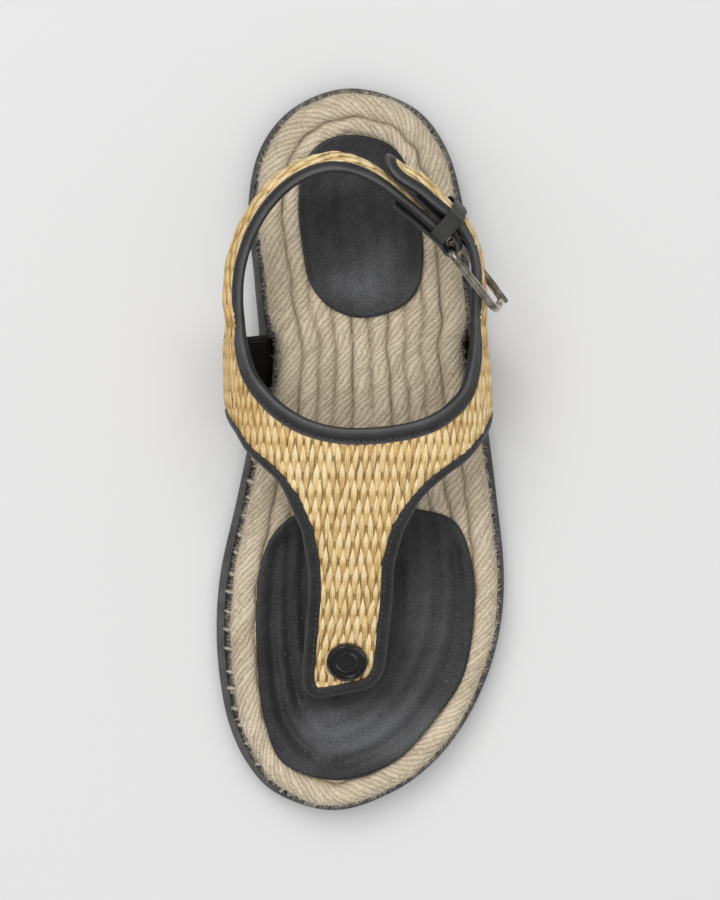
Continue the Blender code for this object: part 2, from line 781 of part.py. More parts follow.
def make_binding(name, walk):
    rings = []
    for edge, normal, inner, inner_normal in walk:
        edge, inner = edge / MM, inner / MM
        reach = inner - edge
        into = unit(reach - normal * reach.dot(normal))
        lip_at = edge + reach * min(1.0, BIND_LIP / np.linalg.norm(reach))
        slot = WALL / 2 + BIND_EASE
        rings.append(np.array([
            lip_at + inner_normal * BIND_HALF,
            edge + normal * BIND_HALF,
            edge - into * BIND_OUT + normal * BIND_FOLD,
            edge - into * BIND_OUT - normal * BIND_FOLD,
            edge - normal * BIND_HALF,
            lip_at - inner_normal * BIND_HALF,
            lip_at - inner_normal * slot,
            edge - into * GAP - normal * slot,
            edge - into * GAP + normal * slot,
            lip_at + inner_normal * slot,
        ]))
    points, faces = skin(rings)
    count = len(rings[0])
    fold = (0, 1, 8, 9), (1, 2, 3, 4, 7, 8), (4, 5, 6, 7)
    for low, flip in ((0, False), (len(points) - count, True)):
        for corners in fold:
            face = tuple(low + corner for corner in corners)
            faces.append(face[::-1] if flip else face)
    make_object(name, points, faces, "binding_leather")


front_walk = edge_walk(upper.data, panel[0, 1], panel[0, -2], patches[1][-1, 3])
rear_walk = edge_walk(upper.data, panel[-1, -2], panel[-1, 1], buckle_grid[-1, 2])
make_binding("front_binding", front_walk)
make_binding("top_binding", rear_walk)
modifier(upper, "SOLIDIFY", thickness=WALL * MM, offset=0.0)


# Stud: a turned disc with a raised rim, laid on the stem
def turned(name, profile, look, at, axis):
    """Solid turned from (radius, height) pairs round an axis."""
    mesh = bpy.data.meshes.new(name)
    corners = [(radius * MM, 0.0, height * MM) for radius, height in profile]
    mesh.from_pydata(corners, [(k, k + 1) for k in range(len(corners) - 1)], [])
    obj = bpy.data.objects.new(name, mesh)
    PARTS.objects.link(obj)
    mesh.materials.append(LOOKS[look])
    modifier(obj, "SCREW", steps=TURN_STEPS, render_steps=TURN_STEPS, use_merge_vertices=True,
             merge_threshold=MERGE, use_normal_calculate=True)
    obj.rotation_mode = "QUATERNION"
    obj.rotation_quaternion = mathutils.Vector(axis).to_track_quat("Z", "Y")
    obj.location = np.asarray(at) * MM
    return obj


def last_normal(x, y):
    side = crest_drop(x + 1.0, y) - crest_drop(x - 1.0, y)
    ahead = crest_drop(x, y + 1.0) - crest_drop(x, y - 1.0)
    return unit(np.cross(side, ahead))


stud_normal = last_normal(*STUD_AT)
stud_seat = crest_drop(*STUD_AT) + stud_normal * (WALL / 2 + GAP)
turned("stud", STUD_PROFILE, "stud_leather", stud_seat, stud_normal)


# Toe post: a flared pin between the forefoot cover and the underside of the stem
def post_ring(radius, rise, below):
    """Ring at a rise above the cover, or just below the stem."""
    turn = np.linspace(0.0, 2.0 * math.pi, TURN_STEPS, endpoint=False)
    plan = np.array(STUD_AT) + radius * np.stack([np.cos(turn), np.sin(turn)], axis=1)
    if below:
        tilt = 1.0 / last_normal(*STUD_AT)[2]
        return np.array([crest_drop(x, y) - UP * ((WALL / 2 + GAP) * tilt + rise) for x, y in plan])
    return raised(plan, bed_height(plan) + PAD_THICK + 2 * GAP + rise)


post_rings = [post_ring(radius, rise, False) for radius, rise in POST_SECTION]
post_rings += [post_ring(radius, rise, True) for radius, rise in reversed(POST_SECTION)]
make_object("toe_post", *skin(post_rings), "tab_leather")

# Buckle axes: along the frame, down its height and out of its plane
frame_side = np.array([-FRAME_ALONG[1], FRAME_ALONG[0], 0.0])
frame_down = frame_side * math.sin(FRAME_LEAN) - UP * math.cos(FRAME_LEAN)
frame_out = frame_side * math.cos(FRAME_LEAN) + UP * math.sin(FRAME_LEAN)
HINGE = -FRAME_LENGTH / 2


def in_frame(along, down, out):
    return FRAME_AT + FRAME_ALONG * along + frame_down * down + frame_out * out


def wire(name, path, radius, cyclic):
    """Round wire with filled ends along a path, kept as a mesh."""
    curve = bpy.data.curves.new(name, "CURVE")
    curve.dimensions = "3D"
    curve.bevel_depth = radius * MM
    curve.bevel_resolution = WIRE_ROUNDING
    curve.use_fill_caps = True
    spline = curve.splines.new("POLY")
    spline.points.add(len(path) - 1)
    spline.use_cyclic_u = cyclic
    for point, place in zip(spline.points, path):
        point.co = (*(place * MM), 1.0)
    guide = bpy.data.objects.new(name + "_guide", curve)
    PARTS.objects.link(guide)
    graph = bpy.context.evaluated_depsgraph_get()
    mesh = bpy.data.meshes.new_from_object(guide.evaluated_get(graph))
    bpy.data.objects.remove(guide, do_unlink=True)
    shape = bmesh.new()
    shape.from_mesh(mesh)
    bmesh.ops.remove_doubles(shape, verts=shape.verts, dist=MERGE)
    bmesh.ops.recalc_face_normals(shape, faces=shape.faces)
    shape.to_mesh(mesh)
    shape.free()
    obj = bpy.data.objects.new(name, mesh)
    PARTS.objects.link(obj)
    mesh.materials.clear()
    mesh.materials.append(LOOKS["buckle_metal"])
    return obj


frame_path = []
for turn_along, turn_down, start in ((1, 1, 0.0), (-1, 1, 0.5), (-1, -1, 1.0), (1, -1, 1.5)):
    for share in np.linspace(0.0, 0.5, CORNER_STEPS):
        angle = (start + share) * math.pi
        along = turn_along * (FRAME_LENGTH / 2 - FRAME_CORNER) + FRAME_CORNER * math.cos(angle)
        down = turn_down * (FRAME_HEIGHT / 2 - FRAME_CORNER) + FRAME_CORNER * math.sin(angle)
        frame_path.append(in_frame(along, down, 0.0))
wire("buckle_frame", frame_path, WIRE_RADIUS, True)

# Prong: turned round the hinge bar, through the strap and over the far bar
prong_turn = WIRE_RADIUS + GAP + PRONG_RADIUS
prong_path = [in_frame(HINGE + prong_turn * math.sin(turn), 0.0, prong_turn * math.cos(turn))
              for turn in np.linspace(-PRONG_TURN, 0.0, PRONG_STEPS)]
prong_path.append(in_frame(-HINGE + PRONG_RADIUS, 0.0, prong_turn))
wire("buckle_prong", prong_path, PRONG_RADIUS, False)
bpy.ops.mesh.primitive_cylinder_add(vertices=HOLE_SIDES, radius=PRONG_HOLE * MM, depth=HOLE_DEPTH * MM)
hole_tool = bpy.context.object
hole_tool.name = "prong_hole"
hole_tool.rotation_mode = "QUATERNION"
hole_tool.rotation_quaternion = mathutils.Vector(FRAME_ALONG).to_track_quat("Z", "Y")
hole_tool.location = in_frame(HOLE_ALONG, 0.0, prong_turn) * MM
cutter(hole_tool)
cut(upper, hole_tool)

# Buckle tab: a leaf inside the heel strap, folded round the hinge bar and slotted for the prong
leaf_offset = BIND_HALF + 2 * GAP + TAB_THICK / 2
fold_radius = WIRE_RADIUS + GAP + TAB_THICK / 2
heel_out = strap_frames(HEEL_STRAP, -1)[1][-1][0]


def heel_strap_point(column, back):
    """Point of a line of the heel strap at a length back from its end."""
    line = heel_grid[::-1, column]
    length = np.concatenate([[0.0], np.cumsum(np.linalg.norm(np.diff(line, axis=0), axis=1))])
    return np.array([np.interp(back, length, axis) for axis in line.T])


tab_rows = []
for column, depth in enumerate(STRAP_DEPTHS):
    line = [heel_strap_point(column, back) - heel_out * leaf_offset for back in TAB_STOPS]
    down = depth - STRAP_WIDTH / 2
    for turn in np.linspace(0.0, TAB_WRAP, TAB_STEPS):
        line.append(in_frame(HINGE + fold_radius * math.sin(turn), down, -fold_radius * math.cos(turn)))
    tab_rows.append(spaced(line, TAB_STATIONS))
tab = make_object("buckle_tab", *sheet(tab_rows), "tab_leather")
modifier(tab, "SOLIDIFY", thickness=TAB_THICK * MM, offset=0.0)
bpy.ops.mesh.primitive_cube_add(size=1.0)
slot_tool = bpy.context.object
slot_tool.name = "prong_slot"
slot_tool.rotation_mode = "QUATERNION"
slot_axes = mathutils.Matrix(np.stack([FRAME_ALONG, frame_down, frame_out], axis=1))
slot_tool.rotation_quaternion = slot_axes.to_quaternion()
slot_tool.location = in_frame(HINGE, 0.0, 0.0) * MM
slot_side = 2 * (prong_turn + TAB_SLOT_ROOM)
slot_tool.scale = np.array([slot_side, TAB_SLOT, slot_side]) * MM
cutter(slot_tool)
cut(tab, slot_tool)

# Keeper: a leather loop round the leaf and both straps
keeper_in = leaf_offset + TAB_THICK / 2 + 2 * GAP + KEEPER_THICK / 2
keeper_out = BIND_HALF + KEEPER_ROOM + KEEPER_THICK / 2
keeper_rise = BIND_OUT + KEEPER_ROOM + KEEPER_THICK / 2
inner_side, outer_side = [], []
for column in range(len(STRAP_DEPTHS)):
    place = heel_strap_point(column, KEEPER_BACK)
    beyond = buckle_grid[:, column] - place
    across = beyond - np.outer(beyond @ heel_out, heel_out)
    outside = beyond @ heel_out > 0
    nearest = int(np.argmin(np.where(outside, (across ** 2).sum(axis=1), np.inf)))
    facing = spaced(buckle_grid[nearest - 1:nearest + 2, column], KEEPER_POINTS)
    level = np.abs((facing - place) @ np.cross(heel_out, UP))
    inner_side.append(place - heel_out * keeper_in)
    outer_side.append(facing[int(np.argmin(level))] + heel_out * keeper_out)
inner_side, outer_side = np.array(inner_side), np.array(outer_side)
lift = UP * keeper_rise
corner_top = (outer_side[0] - inner_side[0]) * KEEPER_CORNER
corner_low = (outer_side[-1] - inner_side[-1]) * KEEPER_CORNER
keeper_path = np.array([
    *inner_side,
    inner_side[-1] + corner_low - lift,
    outer_side[-1] - corner_low - lift,
    *outer_side[::-1],
    outer_side[0] - corner_top + lift,
    inner_side[0] + corner_top + lift,
])
keeper_along = unit(facing[-1] - facing[0]) * KEEPER_WIDTH / 2
keeper_rings = [keeper_path - keeper_along, keeper_path + keeper_along]
keeper = make_object("keeper_loop", *skin(keeper_rings), "tab_leather")
modifier(keeper, "SOLIDIFY", thickness=KEEPER_THICK * MM, offset=0.0)
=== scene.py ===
import math

import bmesh
import bpy
import numpy as np
from mathutils import Matrix, Vector


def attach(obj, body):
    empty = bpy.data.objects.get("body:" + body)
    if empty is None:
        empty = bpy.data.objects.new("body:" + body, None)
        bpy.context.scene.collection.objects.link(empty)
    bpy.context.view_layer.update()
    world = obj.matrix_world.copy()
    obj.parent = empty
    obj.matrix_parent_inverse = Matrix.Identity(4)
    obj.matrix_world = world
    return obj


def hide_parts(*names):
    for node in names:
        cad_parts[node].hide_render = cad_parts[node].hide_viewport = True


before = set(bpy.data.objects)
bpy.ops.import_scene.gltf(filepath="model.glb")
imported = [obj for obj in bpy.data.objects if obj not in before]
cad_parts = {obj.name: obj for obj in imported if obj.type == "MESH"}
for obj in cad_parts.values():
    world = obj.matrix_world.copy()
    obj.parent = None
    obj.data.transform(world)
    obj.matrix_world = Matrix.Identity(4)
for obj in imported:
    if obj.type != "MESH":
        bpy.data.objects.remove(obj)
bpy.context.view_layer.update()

# Looks of the open-toe flat sandal, left shoe. Sizes are in millimetres, in the frame of the solids:
# toe towards -Y, outer side of the foot towards +X, floor at Z = 0.
MM = 0.001
UP = np.array([0.0, 0.0, 1.0])
GAP = 0.3

# Sole plan, from heel to toe
SOLE_EDGES = (
    # y, medial x, lateral x
    (121.9, -23.8, 18.8),
    (108.5, -35.2, 29.9),
    (88.0, -39.9, 36.2),
    (60.0, -37.7, 39.3),
    (36.0, -36.1, 41.6),
    (10.0, -38.6, 45.2),
    (-17.0, -44.0, 48.7),
    (-44.0, -50.0, 51.4),
    (-62.0, -51.5, 50.4),
    (-80.0, -50.6, 45.9),
    (-98.0, -47.1, 37.2),
    (-112.0, -40.6, 25.9),
    (-122.0, -31.2, 12.0),
)
HEEL_TIP = (-4.0, 128.7)
TOE_TIP = (-9.8, -128.7)
OUTLINE_DENSITY = 4800
ROPE_STATIONS = 1900
TRAY_STATIONS = 480

# Sole side view
SOLE_HEIGHTS = (
    # y, lip z, footbed z
    (129.0, 13.5, 27.5),
    (100.0, 12.3, 26.3),
    (60.0, 11.8, 25.6),
    (20.0, 11.6, 25.0),
    (-20.0, 10.6, 23.6),
    (-60.0, 10.0, 22.6),
    (-95.0, 11.0, 23.6),
    (-129.0, 14.8, 27.2),
)
TOE_SPRING, TOE_SPRING_FROM = 6.0, -84.0
HEEL_LIFT, HEEL_LIFT_FROM = 2.0, 112.0
ARCH_LIFT, ARCH_FRONT, ARCH_BACK = 2.4, -6.0, 48.0
TRAY_DEPTH = 2.5
FOOT_INSET = 14.0
FOOT_SECTION = (
    # inset, rise above the underside
    (2.4, 0.0), (0.9, 0.35), (0.3, 1.1), (0.0, 2.4),
)
GROOVE_SECTION = (
    # inset, rise above the middle of the side
    (0.0, -0.3), (0.35, 0.0), (0.0, 0.3),
)
LIP_SECTION = (
    # inset, drop below the lip
    (0.0, 1.3), (0.14, 0.55), (0.5, 0.14), (0.95, 0.0),
)
LEDGE_SHARE, LEDGE_LIMITS, LEDGE_ROUND, LEDGE_SLOPE = 0.56, (1.2, 2.8), 0.25, 0.3
TREAD_PITCH, TREAD_WIDTH, TREAD_DEPTH, TREAD_MARGIN = 11.0, 3.4, 2.0, 9.0
TREADS = ((-78.0, -22.0), (62.0, 107.0))

# Rope footbed
WELT = (
    # y, medial width, lateral width
    (100.0, 2.7, 3.1),
    (65.0, 3.9, 3.9),
    (30.0, 4.0, 3.9),
    (-20.0, 4.4, 3.6),
    (-60.0, 5.1, 3.2),
    (-100.0, 4.8, 3.0),
)
WELT_TOE, WELT_HEEL = 3.0, 2.3
PINCH, PINCH_AT, PINCH_HALF = 2.6, 26.0, 23.0
EDGE_ROPE = 8.3
ROPE_PITCH, TIGHT_PITCH = 6.6, 5.6
WAIST_ROPES = 4
INNER_ROPES = 7
ROPE_VALLEY = 2.5
DISH, DISH_REACH = 1.2, 30.0
SPINE_HEEL, SPINE_TOE = (-2.0, 92.0), (-4.5, -78.0)
TWIST_ANGLE, YARN_STEP = math.radians(43.0), 2.65
YARN_RELIEF, EDGE_FULLNESS = 0.30, 1.1
# Uneven lay of the yarns, wander of the valleys, swell of the ropes and wave of the outer side
SLOW_LAY, QUICK_LAY = 0.5, 0.05
VALLEY_WANDER, ROPE_SWELL, EDGE_WAVE = 0.36, 0.22, 0.25
COIL_RINGS, OUTER_COIL = 11, 3
SIDE_ROPE = 7.4
EDGE_SECTIONS = (
    # first and last angle, rings, half width, middle and radius as shares of the height,
    # angles between which the rope is painted with shade, where the edge rope and the side rope meet
    ((-90.0, 150.0), 31, EDGE_ROPE / 2, 0.26, 0.26, (100.0, 150.0)),
    ((28.0, 170.0), 17, SIDE_ROPE / 2, 0.755, 0.245, (60.0, 28.0)),
)
OUTER_RINGS = slice(13, 40)
CREST_FROM = 18.0
FIBRE_GROUPS = (
    # name, fibres to the square metre, lean, size, radius, seed
    ("edge_fibres", 800000.0, 1.25, 0.95, 0.105, 5),
    ("crest_fibres", 150000.0, 1.5, 0.9, 0.085, 6),
    ("coil_fibres", 190000.0, 1.5, 0.9, 0.085, 8),
    ("core_fibres", 150000.0, 1.5, 0.9, 0.085, 9),
)
FIBRE_SIZES = 0.45, 1.15

# Leather covers on the footbed, as outlines in plan
FOREFOOT_PAD = (
    (-21.4, -21.0), (-31.0, -28.0), (-36.2, -40.0), (-37.7, -56.0), (-37.2, -78.0), (-34.6, -96.0),
    (-28.4, -110.0), (-9.0, -116.3), (11.0, -110.1), (24.5, -96.5), (35.5, -80.5), (39.6, -58.0),
    (38.6, -38.0), (32.5, -24.6), (20.0, -20.4), (0.0, -18.5),
)
HEEL_PAD = (
    (-3.3, 111.7), (-13.5, 109.6), (-20.5, 102.0), (-22.7, 88.0), (-21.4, 73.0), (-18.6, 59.5),
    (-12.0, 51.3), (-1.8, 47.4), (9.5, 49.2), (18.2, 55.2), (21.2, 66.0), (20.2, 82.0),
    (16.6, 98.0), (10.0, 107.8),
)
PAD_THICK = 1.6
PAD_POINTS, PAD_ROWS, PAD_FLAT = 320, 64, 0.962
PAD_RIM = (
    # share of the outline, rise
    (0.0, 0.0), (0.6, 0.0), (0.972, 0.0), (0.990, 0.12), (0.998, 0.5), (1.0, 0.85), (0.997, 1.2),
    (0.989, 1.45), (0.977, 1.57),
)
# How far the ropes and the toe post press into a cover, and how far round the post
FOREFOOT_PRESS, HEEL_PRESS, POST_DENT = (0.30, 0.7), (0.12, 0.0), 8.0
FOREFOOT_CREASES = (
    # width, depth, points along the crease
    (2.2, 0.80, ((-30.5, -33.0), (-32.6, -52.0), (-31.6, -76.0), (-27.5, -96.0), (-18.0, -106.5))),
    (1.8, 0.70, ((-25.5, -31.0), (-27.0, -50.0), (-26.3, -72.0), (-23.2, -88.0))),
    (1.6, 0.60, ((-20.5, -34.0), (-21.5, -52.0), (-20.6, -70.0))),
    (2.6, 0.50, ((33.0, -34.0), (34.2, -55.0), (30.5, -77.0), (20.5, -93.5), (6.5, -105.0),
                 (-8.0, -109.5))),
    (2.4, 0.35, ((24.0, -27.0), (26.5, -48.0), (24.5, -68.0), (17.0, -84.0))),
    (2.0, 0.28, ((12.5, -40.0), (14.5, -58.0), (13.5, -74.0))),
)
HEEL_CREASES = (
    (2.6, 0.16, ((-17.0, 62.0), (-18.8, 84.0), (-14.0, 103.0))),
    (2.6, 0.16, ((16.0, 60.0), (17.2, 80.0), (12.0, 101.0))),
)
# Places polished by the foot, made glossier and painted paler as sheen
FOREFOOT_WEAR_SHEEN = (
    # x, y, half width, half length, share
    (24.0, -58.0, 14.0, 30.0, 0.55),
    (4.0, -99.0, 26.0, 11.0, 0.90),
    (-14.0, -100.0, 10.0, 9.0, 0.45),
    (-29.0, -62.0, 2.4, 26.0, 0.35),
    (-23.5, -60.0, 1.8, 22.0, 0.30),
    (-34.2, -66.0, 1.8, 24.0, 0.30),
)
HEEL_WEAR_SHEEN = (
    (0.0, 58.0, 15.0, 8.0, 0.80),
    (8.0, 72.0, 12.0, 10.0, 0.45),
    (-6.0, 100.0, 14.0, 9.0, 0.25),
)

# Last under the upper
LAST = (
    # y, crest x, crest z, medial x, lateral x, widest z
    (-90.0, -8.3, 39.5, -44.0, 40.0, 26.0),
    (-55.0, -6.3, 54.5, -45.0, 43.0, 31.0),
    (-30.0, -5.5, 65.0, -45.5, 44.0, 36.0),
    (-10.0, -5.0, 72.4, -45.6, 44.0, 39.0),
    (8.0, -4.5, 78.0, -47.2, 43.6, 41.0),
    (20.0, -4.2, 81.0, -48.2, 43.3, 42.0),
    (42.0, -3.8, 84.0, -48.5, 41.5, 42.0),
    (60.0, -3.5, 84.0, -48.5, 39.5, 42.0),
)
LAST_FULLNESS = 2.3
LAST_TUCK = 1.8
BASE_INSET, BASE_DEPTH = 4.1, 1.0
GIRTH_STEPS = 241
# Steps of the girth from one widest point over the crest to the other
OVER_CREST = slice(60, 181)

# Ribs of the T panel. Girth counts 0 at the medial base, 1 at the widest point, 2 on the crest,
# 3 at the lateral widest point and 4 at its base.
RIBS = (
    # front girth, front y, rear girth, rear y
    (0.00, 12.5, 0.00, 40.0),
    (0.45, 13.6, 0.58, 39.4),
    (0.92, 14.4, 1.09, 42.0),
    (1.20, 10.0, 1.33, 42.0),
    (1.37, 2.6, 1.42, 29.6),
    (1.50, -2.3, 1.57, 20.3),
    (1.63, -8.6, 1.70, 14.6),
    (1.775, -25.5, 1.83, 11.0),
    (1.975, -25.7, 1.98, 9.2),
    (2.170, -26.0, 2.15, 10.2),
    (2.26, -13.4, 2.30, 12.8),
    (2.39, -5.6, 2.43, 17.4),
    (2.53, -0.6, 2.56, 25.0),
    (2.76, 7.8, 2.68, 42.0),
    (3.04, 14.2, 2.91, 42.0),
    (3.52, 13.4, 3.42, 39.4),
    (4.00, 12.5, 4.00, 40.0),
)
FRONT_CORNERS = (7, 9)
REAR_CORNERS = (2, 3, 13, 14)
COLUMN_RUNS = ((0, 2, 20), (2, 3, 10), (3, 7, 44), (7, 9, 24), (9, 13, 44), (13, 14, 10), (14, 16, 20))
PANEL_ROWS = 30
WALL_OUT, WALL_IN = 0.45, 1.0
LIP_FRONT, LIP_WING, LIP_TOP, LIP_STRAP = 3.3, 2.2, 4.3, 2.4
STEM = (
    # left x, left y, right x, right y
    (-19.5, -37.0, 7.9, -37.0),
    (-19.2, -48.0, 7.7, -48.0),
    (-19.9, -59.5, 6.8, -59.0),
    (-20.6, -71.0, 6.0, -69.5),
    (-20.9, -77.6, 5.3, -75.0),
    (-20.0, -82.3, 3.6, -78.4),
    (-17.5, -84.6, 1.0, -80.8),
)
STEM_ROWS = 50

# Straps, by the path of the upper edge
HEEL_STRAP = (
    # x, y, z, share of the full swell
    (-44.2, 52.0, 66.0, 0.75),
    (-43.9, 62.0, 67.5, 0.95),
    (-42.0, 70.5, 69.2, 0.9),
    (-38.5, 79.0, 71.8, 1.0),
    (-32.8, 87.4, 74.5, 1.0),
    (-25.6, 93.9, 76.7, 1.0),
    (-18.5, 97.4, 78.0, 1.0),
    (-11.0, 98.5, 78.5, 1.0),
    (-3.5, 96.8, 78.2, 0.8),
    (3.6, 93.0, 77.2, 0.4),
    (10.0, 88.2, 75.8, 0.1),
    (16.6, 83.0, 74.0, 0.0),
    (25.9, 75.0, 71.7, 0.0),
)
BUCKLE_STRAP = (
    # x, y, z, share of the full swell
    (36.6, 52.0, 65.6, 0.3),
    (36.6, 60.0, 67.0, 0.1),
    (36.3, 66.0, 68.3, 0.0),
    (34.8, 72.0, 69.8, 0.0),
    (32.0, 77.2, 71.2, 0.1),
    (28.4, 81.4, 72.5, 0.3),
    (21.5, 86.9, 74.2, 0.8),
    (17.7, 90.4, 75.2, 1.0),
    (12.9, 93.3, 76.4, 1.0),
    (8.5, 95.9, 77.4, 1.0),
    (5.0, 98.5, 78.3, 1.0),
)
STRAP_WIDTH = 13.4
# Lean of a strap's section from upright, at its upper and lower edge, flat and with the full swell
STRAP_LEAN_TOP, STRAP_LEAN_LOW = (30.0, 62.0), (-4.0, -26.0)
STRAP_ROWS = 90
TIP_TAPER = ((0.0, 0.45), (3.0, 0.84), (6.0, 1.0))

# Weave of the upper, its leather edges and their stitches
WEAVE_PITCH, WEAVE_ROW, WEAVE_COLUMNS = 3.0, 6.0, 46
WEAVE_STRAY_ACROSS, WEAVE_STRAY_ALONG = 0.10, 0.22
FLOAT_LENGTH, FLOAT_WIDTH = 10.6, 2.75
FLOAT_SHORTEST, FLOAT_CLEAR, FLOAT_LIFT, FLOAT_STEPS = 3.2, 1.3, 0.25, 25
FLOAT_CROWN = (
    # place along the strip from tip to tail, rise
    (-1.0, -0.20), (-0.8, 0.25), (-0.5, 0.50), (-0.1, 0.52), (0.4, 0.38), (0.7, 0.16), (1.0, -0.30),
)
FLOAT_UNDER = -0.45
STRAP_MARGINS = 1.8, 3.0
# Painted shade on the straw of the inner side of the foot, where the wing turns away from the light
SHADED_STRAW, SHADE_FROM, SHADE_TO = (0.87, 0.81, 0.71), -30.0, -43.0
BIND_OUT, BIND_HALF, BIND_STRAP, BIND_LOW = 1.3, 1.8, 1.5, 1.0
# Where a strap leaves the panel, its lower binding is thin and the weave stands out over it
ROOT_ROWS, ROOT_COLUMNS, ROOT_BIND, ROOT_LIFT, ROOT_REACH = 6, 3, 0.74, 0.5, (8.0, 18.0)
WING_BENDS = (3.5, 6.25, 9.75, 12.5)
BIND_STEP, BIND_SOFT, BIND_SWELL = 0.9, 2.2, 0.035
BIND_SECTION = (
    # share of the lip inwards, or millimetres outwards; rise; wear of the fold with a painted highlight
    (1.0, 0.55, 0.2), (0.985, 0.80, 0.75), (0.90, 0.90, 0.55), (0.78, 0.93, 0.40), (0.66, 0.76, 0.0),
    (0.54, 0.96, 0.10), (0.3, 1.0, 0.25), (0.0, 0.96, 0.40), (-0.45, 0.84, 0.60), (-0.62, 0.74, 0.55),
    (-0.95, 0.70, 0.75), (-1.22, 0.50, 0.35), (-1.3, 0.0, 0.0),
)
STITCH_PITCH, STITCH_LENGTH, STITCH_WIDTH = 2.1, 1.45, 0.66
STITCH_LINE, STITCH_RISE, STITCH_MARGIN, STITCH_SINK = 0.66, 0.86, 3.0, 0.25
WHIP_PITCH, WHIP_TUCK, WHIP_TOP, WHIP_FOOT = 6.75, 0.9, 4.2, 0.4
WHIP_SPINE = (
    # share of the length, radius
    (0.0, 0.0), (0.02, 0.42), (0.35, 0.36), (0.7, 0.26), (0.98, 0.10), (1.0, 0.0),
)
WHIP_THREADS = (
    # spread, reach, bow
    (0.0, 1.0, 0.9), (0.4, 0.90, 0.6), (-0.45, 0.95, 0.7), (0.9, 0.74, 0.3), (-0.85, 0.80, 0.4),
)

# Stud, post and buckle
STUD_AT = (-6.7, -71.0)
STUD_SIDES = 72
STUD_SECTION = (
    # radius, rise, wear with a painted highlight
    (0.0, 0.0, 0.0), (6.6, 0.0, 0.0), (7.05, 0.2, 0.0), (7.2, 0.6, 0.0), (7.2, 1.7, 0.1), (7.08, 2.2, 0.3),
    (6.8, 2.5, 0.5), (6.45, 2.6, 0.6), (6.15, 2.5, 0.4), (6.0, 2.1, 0.1), (5.75, 1.6, 0.0),
    (5.3, 1.42, 0.0), (4.5, 1.40, 0.0), (4.15, 1.75, 0.3), (3.6, 1.85, 0.6), (3.1, 1.66, 0.2),
    (2.7, 1.62, 0.0), (1.3, 1.86, 0.2), (0.0, 1.94, 0.3),
)
WALL = 2.0
POST_SIDES = 48
POST_SECTION = (
    # radius, height from either end
    (5.0, 0.0), (5.1, 0.5), (4.5, 1.0), (3.7, 1.7), (3.2, 2.6),
)
FRAME_AT = np.array([37.4, 62.4, 60.9])
FRAME_ALONG = np.array([0.613, -0.790, 0.0])
FRAME_LEAN = math.radians(15.0)
FRAME_LENGTH, FRAME_HEIGHT, FRAME_CORNER = 25.6, 21.6, 4.0
WIRE_RADIUS, WIRE_SIDES = 1.4, 20
# The prong is hammered thin where it loops round the bar, and tapers to its tip
PRONG_RADIUS, PRONG_LOOP, PRONG_TIP, PRONG_TURN = 1.0, 0.5, 0.72, 1.55 * math.pi
TAB_THICK, TAB_SLOT, TAB_SLOT_ROOM, TAB_ROUND = 1.0, 5.2, 3.4, 0.28
# The tab's inner leaf, its lead to the bar, the fold round the bar and the outer leaf that returns
TAB_LENGTH, TAB_LEAD, TAB_HUG, TAB_BULGE = 21.0, 1.0, 0.12, 1.1
TAB_REACH, TAB_RETURN, TAB_STRAY = 1.25, 17.0, 0.07
KEEPER_BACK, KEEPER_THICK, KEEPER_ROOM, KEEPER_CORNER = 2.2, 0.9, 0.5, 0.14
KEEPER_SECTION = (
    # place across the band, share of half its thickness
    (-3.1, 0.0), (-2.98, 0.6), (-2.6, 1.0), (-2.0, 0.9), (0.0, 1.0), (2.0, 0.9), (2.6, 1.0), (2.98, 0.6),
)

# Camera above the sandal, and the lamps
CAMERA_AT = (-65.8, 60.3, 1400.0)
CAMERA_AIM = (-1.0, 0.7, 25.0)
CAMERA_LENS = 156.0
LAMPS = (
    # name, place in metres, size in metres, watts
    ("key", (-0.55, 0.80, 2.1), 1.0, 13.0),
    ("fill", (-0.1, 0.1, 2.8), 3.0, 58.0),
)
WORLD_LIGHT, FLOOR_HALF = 0.26, 6.0


def unit(vector):
    vector = np.asarray(vector, float)
    return vector / np.maximum(np.linalg.norm(vector, axis=-1, keepdims=True), 1e-9)


def smooth_step(low, high, value):
    t = np.clip((value - low) / (high - low), 0.0, 1.0)
    return t * t * (3.0 - 2.0 * t)


def eased(keys, values, at):
    """Values at the given keys, eased through a short table."""
    keys, values = np.asarray(keys, float), np.asarray(values, float)
    at = np.atleast_1d(np.asarray(at, float))
    slopes = np.gradient(values, keys, axis=0)
    left = np.clip(np.searchsorted(keys, at, side="right") - 1, 0, len(keys) - 2)
    width = keys[left + 1] - keys[left]
    t = np.clip((at - keys[left]) / width, 0.0, 1.0)
    if values.ndim > 1:
        t, width = t[:, None], width[:, None]
    start = (1 + 2 * t) * (1 - t) ** 2 * values[left] + t * (1 - t) ** 2 * width * slopes[left]
    end = t * t * (3 - 2 * t) * values[left + 1] + t * t * (t - 1) * width * slopes[left + 1]
    return start + end


def table_at(table, at):
    """Columns of a table, without its first one, at many stations."""
    rows = np.array(sorted(table), float)
    return eased(rows[:, 0], rows[:, 1:], np.ravel(at))


def walked(points):
    """Length walked along a path up to each of its points."""
    return np.concatenate([[0.0], np.cumsum(np.linalg.norm(np.diff(points, axis=0), axis=1))])


def between(keys, values, at):
    """Rows of values at places between the given keys."""
    return np.stack([np.interp(at, keys, axis) for axis in np.asarray(values).T], axis=1)


def at_length(points, wanted):
    return between(walked(points), points, wanted)


def curve_keys(points):
    """Keys of a curve's points, closer where the points are."""
    return np.concatenate([[0.0], np.cumsum(np.sqrt(np.linalg.norm(np.diff(points, axis=0), axis=1)))])


def spaced(points, count):
    """The smooth curve through points, cut into equal lengths."""
    points = np.asarray(points, float)
    keys = curve_keys(points)
    fine = eased(keys, points, np.linspace(0.0, keys[-1], 40 * len(points)))
    return at_length(fine, np.linspace(0.0, walked(fine)[-1], count))


